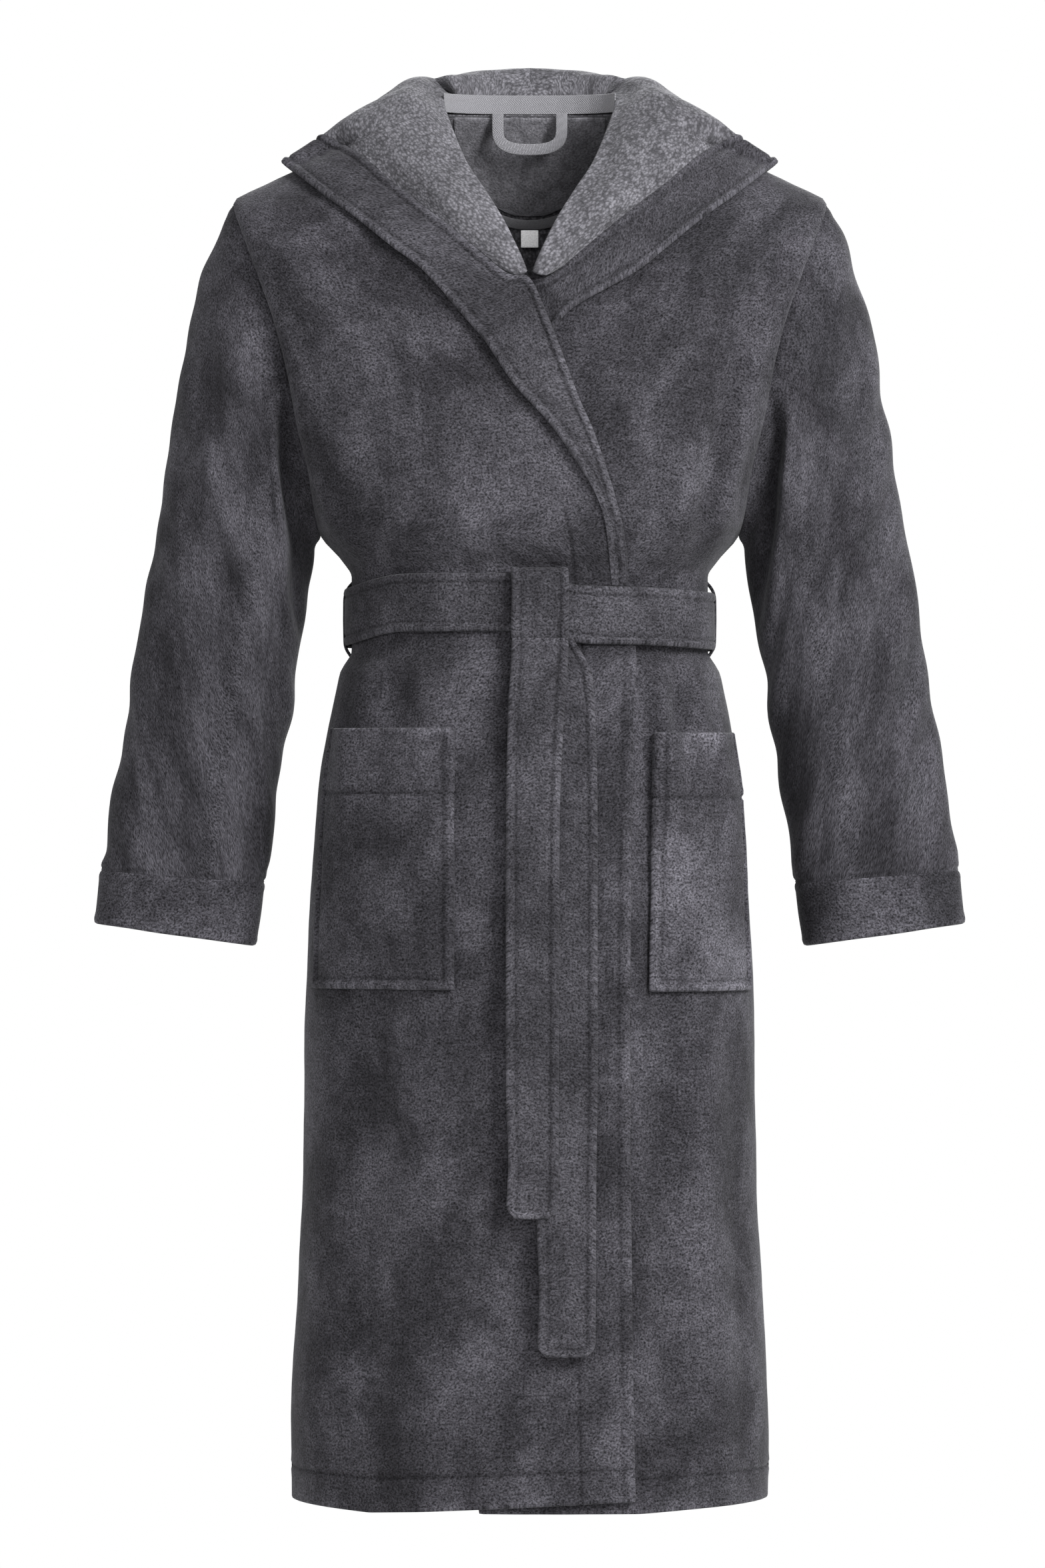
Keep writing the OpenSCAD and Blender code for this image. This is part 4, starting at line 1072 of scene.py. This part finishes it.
def band_rows(side):
    inner, outer, front_w = [], [], []
    for r in (LAP_R if side < 0 else []):
        inner.append([r[0][0], 0, r[0][1]])
        outer.append([r[1][0], 0, r[1][1]])
        front_w.append(1.0)
    if side > 0:
        for a, b in (([8, 1066], [-4, 1018]), ([-6, 1080], [-20, 1038])):
            inner.append([a[0], 0, a[1]])
            outer.append([b[0], 0, b[1]])
            front_w.append(1.0)
    for t in range(8):
        bw = float(smooth((t - 5) / 2))
        (a, b), (c, e) = LAP_SEAM[t], LAP_RIM[t]
        if side > 0 and t == 0:
            c, e = -38, 1058
        ys = 60 + 34 * (t - 6) if t > 6 else 60 * (t - 5)
        yo = 55 + 38 * (t - 6) if t > 6 else 55 * (t - 5)
        ys = float(lap_y(np.array(float(a)), np.array(float(b)), side)) * (1 - bw) + bw * ys
        yo = float(lap_y(np.array(float(c)), np.array(float(e)), side)) * (1 - bw) + bw * yo
        inner.append([a, ys, b])
        outer.append([c, yo, e])
        front_w.append(1.0 - float(smooth((t - 4.6) / 1.2)))
    inner.append([-163, 117, 1180])
    outer.append([-190, 141, 1184])
    front_w.append(0.0)
    for i in range(5):
        e9 = bag_path(BAG[i])[9]
        inner.append(list(e9))
        outer.append([e9[0] - (3 if i < 2 else 0), e9[1] + 3.0, e9[2] + 39.0 + 0.02 * e9[0]])
        front_w.append(0.0)
    n0 = len(inner)
    q = np.linspace(0, n0 - 1, (n0 - 1) * 9 + 1)
    I = np.array([cr(inner, t) for t in q])
    O = np.array([cr(outer, t) for t in q])
    W = np.interp(q, np.arange(n0), front_w)
    wid = np.linalg.norm(O - I, axis=1)
    rows, dd = [], []
    top_start = 7.5 if side < 0 else 1.5
    for r in range(len(q)):
        gap = 3.2 if q[r] > top_start else 3.2 * float(smooth((q[r] - top_start + 1.5) / 1.5))
        full = wid[r]
        c = np.array([0, 1.0, 2.2, 3.4, 4.6, 5.6, 6.6, 8.0])
        kk = min(1.0, (full - gap) / 30.0)
        cc = np.concatenate([gap + c * kk, np.linspace(gap + 11 * kk, full - 11 * kk, 9), (full - c * kk)[::-1]]) / full
        P = I[r] + (O[r] - I[r]) * cc[:, None]
        y = lap_y(P[:, 0], P[:, 2], side)
        if side > 0:
            y = y + 7.0 * (1 - float(smooth(q[r] / 2.0)))
        else:
            y = y + 4.3 * (1 - float(smooth((q[r] - 0.2) / 3.2)))
        if W[r] >= 1:
            P[:, 1] = y
        elif W[r] > 0:
            P[:, 1] = y * W[r] + P[:, 1] * (1 - W[r])
        rows.append(P)
        dd.append(np.minimum(cc * full - gap, full - cc * full))
    G = np.array(rows)
    G[-1, :, 0] = -BAG[4][0]
    return G, np.array(dd), q


for side, nm in ((-1, "right"), (1, "left")):
    G = hood_rows(side)
    ref = np.zeros(G.shape)
    ref[:52] = (0, -0.6, 1)
    N = normals(G)
    N = N * (1 if float(np.sum(N * ref)) > 0 else -1)
    lift = np.concatenate([[0.2, 1.6], np.full(62, 3.0), np.linspace(3.0, 1.2, 12), np.full(G.shape[0] - 76, 1.2)])[:, None, None]
    G = G + N * lift
    U = lengths(G, 1)
    V = lengths(G, 0)
    end = U[:, -1:] - U
    roll = 2.2 * np.exp(-(U / 7.0) ** 2) * np.concatenate([np.ones(56), np.linspace(1, 0, 14), np.zeros(G.shape[0] - 70)])[:, None]
    soft = crumple(V * 1.3, U * 1.3, 20.0, 1.5) * smooth(U / 20) * smooth(end / 20)
    if side > 0:
        G[..., 0] *= -1
        ref[..., 0] *= -1
    # painted sheen highlight along the hood's front roll edge
    piece = cloth("hood_" + nm, G, ref, 3.2, [TERRY, VELOUR], relief=roll + soft, rim=3.6, seed=20.0 + side,
                  light=0.10 * np.exp(-(U / 10.0) ** 2))
    declare(piece, None, "draped", ["lapel_" + nm, "hood_half_" + nm] + (["hood_collar"] if side < 0 else []),
            blend=("robe", "hood", (0, 0.028, 0.028), (0, 0.078, 0.028)))
    G, dd, q = band_rows(side)
    N = normals(G)
    ref = np.zeros(G.shape)
    k0 = 100 if side < 0 else 50
    ref[:k0] = (0, -0.8, 0.6)
    N = N * (1 if float(np.sum(N * ref)) > 0 else -1)
    G = G + N * 3.3
    if side > 0:
        G[..., 0] *= -1
    rel = stitch_relief(dd, 6.0, 1.2, 1.3, 0.1) + 1.1 * np.exp(-((dd - 2.6) / 2.6) ** 2)
    soft_end = smooth((q - 0.2) / 3.0)[:, None] if side < 0 else np.ones((len(q), 1))
    rel = rel * (0.35 + 0.65 * soft_end) - 3.3 * (1 - soft_end)
    # painted shade along the band's stitched lines and a painted sheen highlight along its edges
    piece = cloth("hood_band_" + nm, G, ref, 1.2 + 2.4 * soft_end * np.ones(dd.shape), [BAND, BAND], relief=rel, groove_shade=stitch_shade_line(dd, 6.0, 1.4) * 0.8, rim=3.4, seed=24.0 + side,
                  light=0.12 * np.exp(-(dd / 4.0) ** 2))
    declare(piece, None, "draped", ["lapel_band_" + nm, "hood_band_" + nm],
            blend=("robe", "hood", (0, 0.028, 0.028), (0, 0.078, 0.028)))

# ------------------------------------------------------------------ sleeves
SL = np.array([[-264, 1151, -190, 861, 70], [-284, 1112, -191, 842, 71], [-301, 1045, -195, 812, 70], [-315, 970, -200, 780, 67],
               [-329, 885, -206, 744, 63], [-343, 800, -213, 700, 59], [-357, 712, -221, 648, 55], [-370, 632, -229, 596, 52],
               [-381, 562, -235, 551, 49], [-386, 518, -243, 498, 47]], float)
NA = 128
AA = np.linspace(0, 2 * np.pi, NA, endpoint=False)


def sleeve_ring(t, side):
    s = cr(SL, t)
    o, i = np.array([s[0], 0, s[1]]), np.array([s[2], 0, s[3]])
    c, h = (o + i) / 2, (o - i) / 2
    ce = np.sign(np.cos(AA)) * np.abs(np.cos(AA)) ** EPS_RING
    se = np.sign(np.sin(AA)) * np.abs(np.sin(AA)) ** EPS_RING
    P = c + h * ce[:, None] + np.stack([0 * se, s[4] * se, 0 * se], -1)
    # seam on the body's edge
    r0 = cr(SL, 0.0)
    o0, i0 = np.array([r0[0], 0, r0[1]]), np.array([r0[2], 0, r0[3]])
    c0, h0 = (o0 + i0) / 2, (o0 - i0) / 2
    P0 = c0 + h0 * ce[:, None] + np.stack([0 * se, r0[4] * se, 0 * se], -1)
    zs = np.clip(P0[:, 2], 862, 1152)
    S = np.stack([-(hx(zs) - 1.0 * smooth((1150 - zs) / 40)), np.sign(se) * np.maximum(arm(zs) - 1.0, 0.0), zs], -1)
    w = 1 - smooth(t / 0.85)
    P = P + (S - P0) * w
    across = (1 - ce) / 2
    frontness = np.clip(-se, 0, 1)
    # the lower inner part of the front lies folded back behind a soft edge
    edge = np.interp(t, [0, 1, 2, 3, 3.8, 9], [0.52, 0.64, 0.80, 0.89, 1.02, 1.2])
    step = smooth((across - edge) / 0.055)
    amount = np.interp(t, [0, 0.35, 1.0, 2.0, 3.0, 3.8, 9], [0.0, 0.35, 1.0, 1.0, 0.8, 0.0, 0.0])
    P[:, 1] += (23.0 if side < 0 else 21.0) * amount * step * frontness ** 0.5
    P[:, 1] -= 4.0 * amount * np.exp(-((across - edge + 0.03) / 0.05) ** 2) * frontness ** 0.5
    # elbow creases and a long soft fold down the arm
    n_out = np.stack([ce * 0.9, 0 * ce, ce * 0.3], -1)
    lines = ((3.6, 0.62, 3.0, 0.28, 0.10), (4.3, 0.72, -2.6, 0.26, 0.10), (4.9, 0.55, 2.6, 0.30, 0.12), (5.6, 0.70, -2.4, 0.30, 0.10),
             (2.2, 0.35, 2.4, 0.60, 0.09), (3.2, 0.22, -2.2, 0.50, 0.10), (6.4, 0.45, 2.0, 0.40, 0.14))
    for t0, a0, amp, wt, wa in lines:
        d = (t - t0 - 1.6 * (across - a0)) / wt
        P[:, 1] += np.sign(se) * amp * np.exp(-d * d) * np.exp(-((across - a0) / (wa * 2.2)) ** 2) * np.abs(se) * (1.0 if side < 0 else -0.9)
    for t0, a0, amp, wt, wa in lines[:5]:
        d = (t - t0 + 0.3 + 1.2 * (across - a0)) / wt
        P[:, 1] += np.clip(se, 0, 1) * 1.5 * amp * np.exp(-d * d) * np.exp(-((across - a0) / 0.25) ** 2)
    for cc, wv, amp in ((0.30, 0.10, 2.0), (0.52, 0.09, -2.0), (0.76, 0.10, 2.4)):
        P[:, 1] += np.sign(se) * amp * np.exp(-((across - cc - 0.02 * np.sin(t * 1.4)) / wv) ** 2) * np.interp(t, [0, 1, 3, 9], [0, 0.7, 1, 0.8])
    return P, across


def build_sleeve(side, nm):
    ts = [0.0, 0.02, 0.045, 0.08, 0.13, 0.19] + list(np.linspace(0.26, 7.72, 112)) + [7.77, 7.81, 7.85, 7.88, 7.905, 7.93, 7.955, 7.98]
    rows = [sleeve_ring(t, side)[0] for t in ts]
    G = np.array(rows)
    C = G.mean(1, keepdims=True)
    ref = G - C
    if side > 0:
        G = G.copy()
        G[..., 0] *= -1
        ref = G - G.mean(1, keepdims=True)
    T = np.array(ts)[:, None] * np.ones((1, NA))
    S0 = lengths(G, 0)
    to_end = S0[-1:] - S0
    rel = -1.1 * np.exp(-((to_end - 1.0) / 1.5) ** 2) + 0.4 * np.exp(-((to_end - 6.0) / 3.0) ** 2) + 0.7 * np.exp(-((S0 - 6.0) / 4.0) ** 2)
    seam = np.exp(-(((np.minimum(np.abs(AA - np.pi), np.pi)) / 0.03) ** 2))[None, :]
    rel = rel - 1.0 * seam * np.ones_like(T) + crumple(S0 * 1.0, np.cos(AA)[None, :] * 90 + np.zeros_like(T), 30.0 + side, 2.0) * smooth(S0 / 30) * smooth(to_end / 20)
    # painted shade along the cuff seam, the armhole seam and the underarm seam
    stitch_shade = np.maximum(stitch_shade_line(to_end, 1.0, 1.4) * 0.5, np.exp(-(S0 / 3.0) ** 2) * 0.7)
    stitch_shade = np.maximum(stitch_shade, seam * 0.4 * np.ones_like(T))
    ob = cloth("sleeve_" + nm, G, ref, CLOTH, [VELOUR, TERRY], relief=rel, groove_shade=stitch_shade, closed=True, rim=3.0, seed=30.0 + side)
    mid_pt = (side * 0.2265, -0.052, (1007 - 1238) / 1000)
    ux, uz = side * 0.969, -0.247
    declare(ob, None, "hung", ["sleeve_" + nm],
            blend=("robe", nm + "_sleeve", mid_pt, (mid_pt[0] + ux * 0.13, -0.052, mid_pt[2] + uz * 0.13)))
    tc = [7.98, 7.995, 8.01, 8.03, 8.06, 8.1] + list(np.linspace(8.16, 8.9, 9)) + [8.93, 8.955, 8.975, 8.99, 9.0]
    G = np.array([sleeve_ring(t, side)[0] for t in tc])
    if side > 0:
        G[..., 0] *= -1
    ref = G - G.mean(1, keepdims=True)
    S0 = lengths(G, 0)
    to_end = S0[-1:] - S0
    rel = -1.3 * np.exp(-(S0 / 1.8) ** 2) + 0.5 * np.exp(-((S0 - 5.5) / 2.8) ** 2) + 0.6 * np.exp(-((to_end - 2.5) / 3.0) ** 2) \
        + crumple(S0 + 600, np.cos(AA)[None, :] * 90 + 0 * S0, 31.0, 1.4) * 0.4 * smooth(S0 / 14)
    # painted shade along the cuff seam and a painted sheen highlight along its folded end
    ob = cloth("cuff_" + nm, G, ref, CLOTH + 1.8, [VELOUR, VELOUR], relief=rel, groove_shade=stitch_shade_line(S0, 0.0, 1.4) * 0.5, closed=True, rim=2.2, seed=33.0 + side,
               light=0.10 * np.exp(-(to_end / 5.0) ** 2))
    declare(ob, nm + "_sleeve", "folded", ["cuff_" + nm])


build_sleeve(-1, "right")
build_sleeve(1, "left")

# ------------------------------------------------------------------ floor, light, camera
bpy.ops.mesh.primitive_circle_add(vertices=96, radius=2.4, fill_type="NGON", location=(0, 0, -1.56))
floor = bpy.context.object
floor.name = "floor"
fm = bpy.data.materials.new("floor_pale")
fm.use_nodes = True
fb = fm.node_tree.nodes["Principled BSDF"]
fb.inputs["Base Color"].default_value = (0.72, 0.72, 0.71, 1)
fb.inputs["Roughness"].default_value = 0.8
floor.data.materials.append(fm)

world = bpy.data.worlds.new("studio")
bpy.context.scene.world = world
world.use_nodes = True
bg = world.node_tree.nodes["Background"]
bg.inputs[0].default_value = (1.0, 1.0, 1.0, 1)
bg.inputs[1].default_value = 1.0


def area(name, loc, aim, size, power, color=(1, 1, 1)):
    ld = bpy.data.lights.new(name, "AREA")
    ld.shape = "RECTANGLE"
    ld.size, ld.size_y = size
    ld.energy = power
    ld.color = color
    ob = bpy.data.objects.new(name, ld)
    bpy.context.scene.collection.objects.link(ob)
    ob.location = loc
    from mathutils import Vector
    ob.rotation_euler = (Vector(aim) - Vector(loc)).to_track_quat("-Z", "Y").to_euler()
    return ob


area("key", (2.1, -2.4, 1.1), (0.0, -0.1, -0.5), (1.2, 1.6), 340)
area("fill", (-2.6, -1.9, 0.2), (0.0, -0.1, -0.6), (1.6, 2.0), 36)
area("front", (0.5, -4.6, 0.5), (0.0, -0.1, -0.4), (1.6, 1.6), 60)
area("rim_back", (0.6, 2.6, 1.2), (0.0, 0.0, -0.5), (1.6, 1.4), 150)

cam_data = bpy.data.cameras.new("camera")
cam = bpy.data.objects.new("camera", cam_data)
bpy.context.scene.collection.objects.link(cam)
cam.location = (-0.0064, -9.152, -0.5992)
cam.rotation_euler = (math.pi / 2, 0, 0)
cam_data.sensor_width = 36.0
cam_data.sensor_fit = "AUTO"
cam_data.lens = 235.5
cam_data.clip_end = 60.0
bpy.context.scene.camera = cam
bpy.context.scene.view_settings.view_transform = "Standard"

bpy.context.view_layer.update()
for row in FLATS:
    print("FLAT", *row)
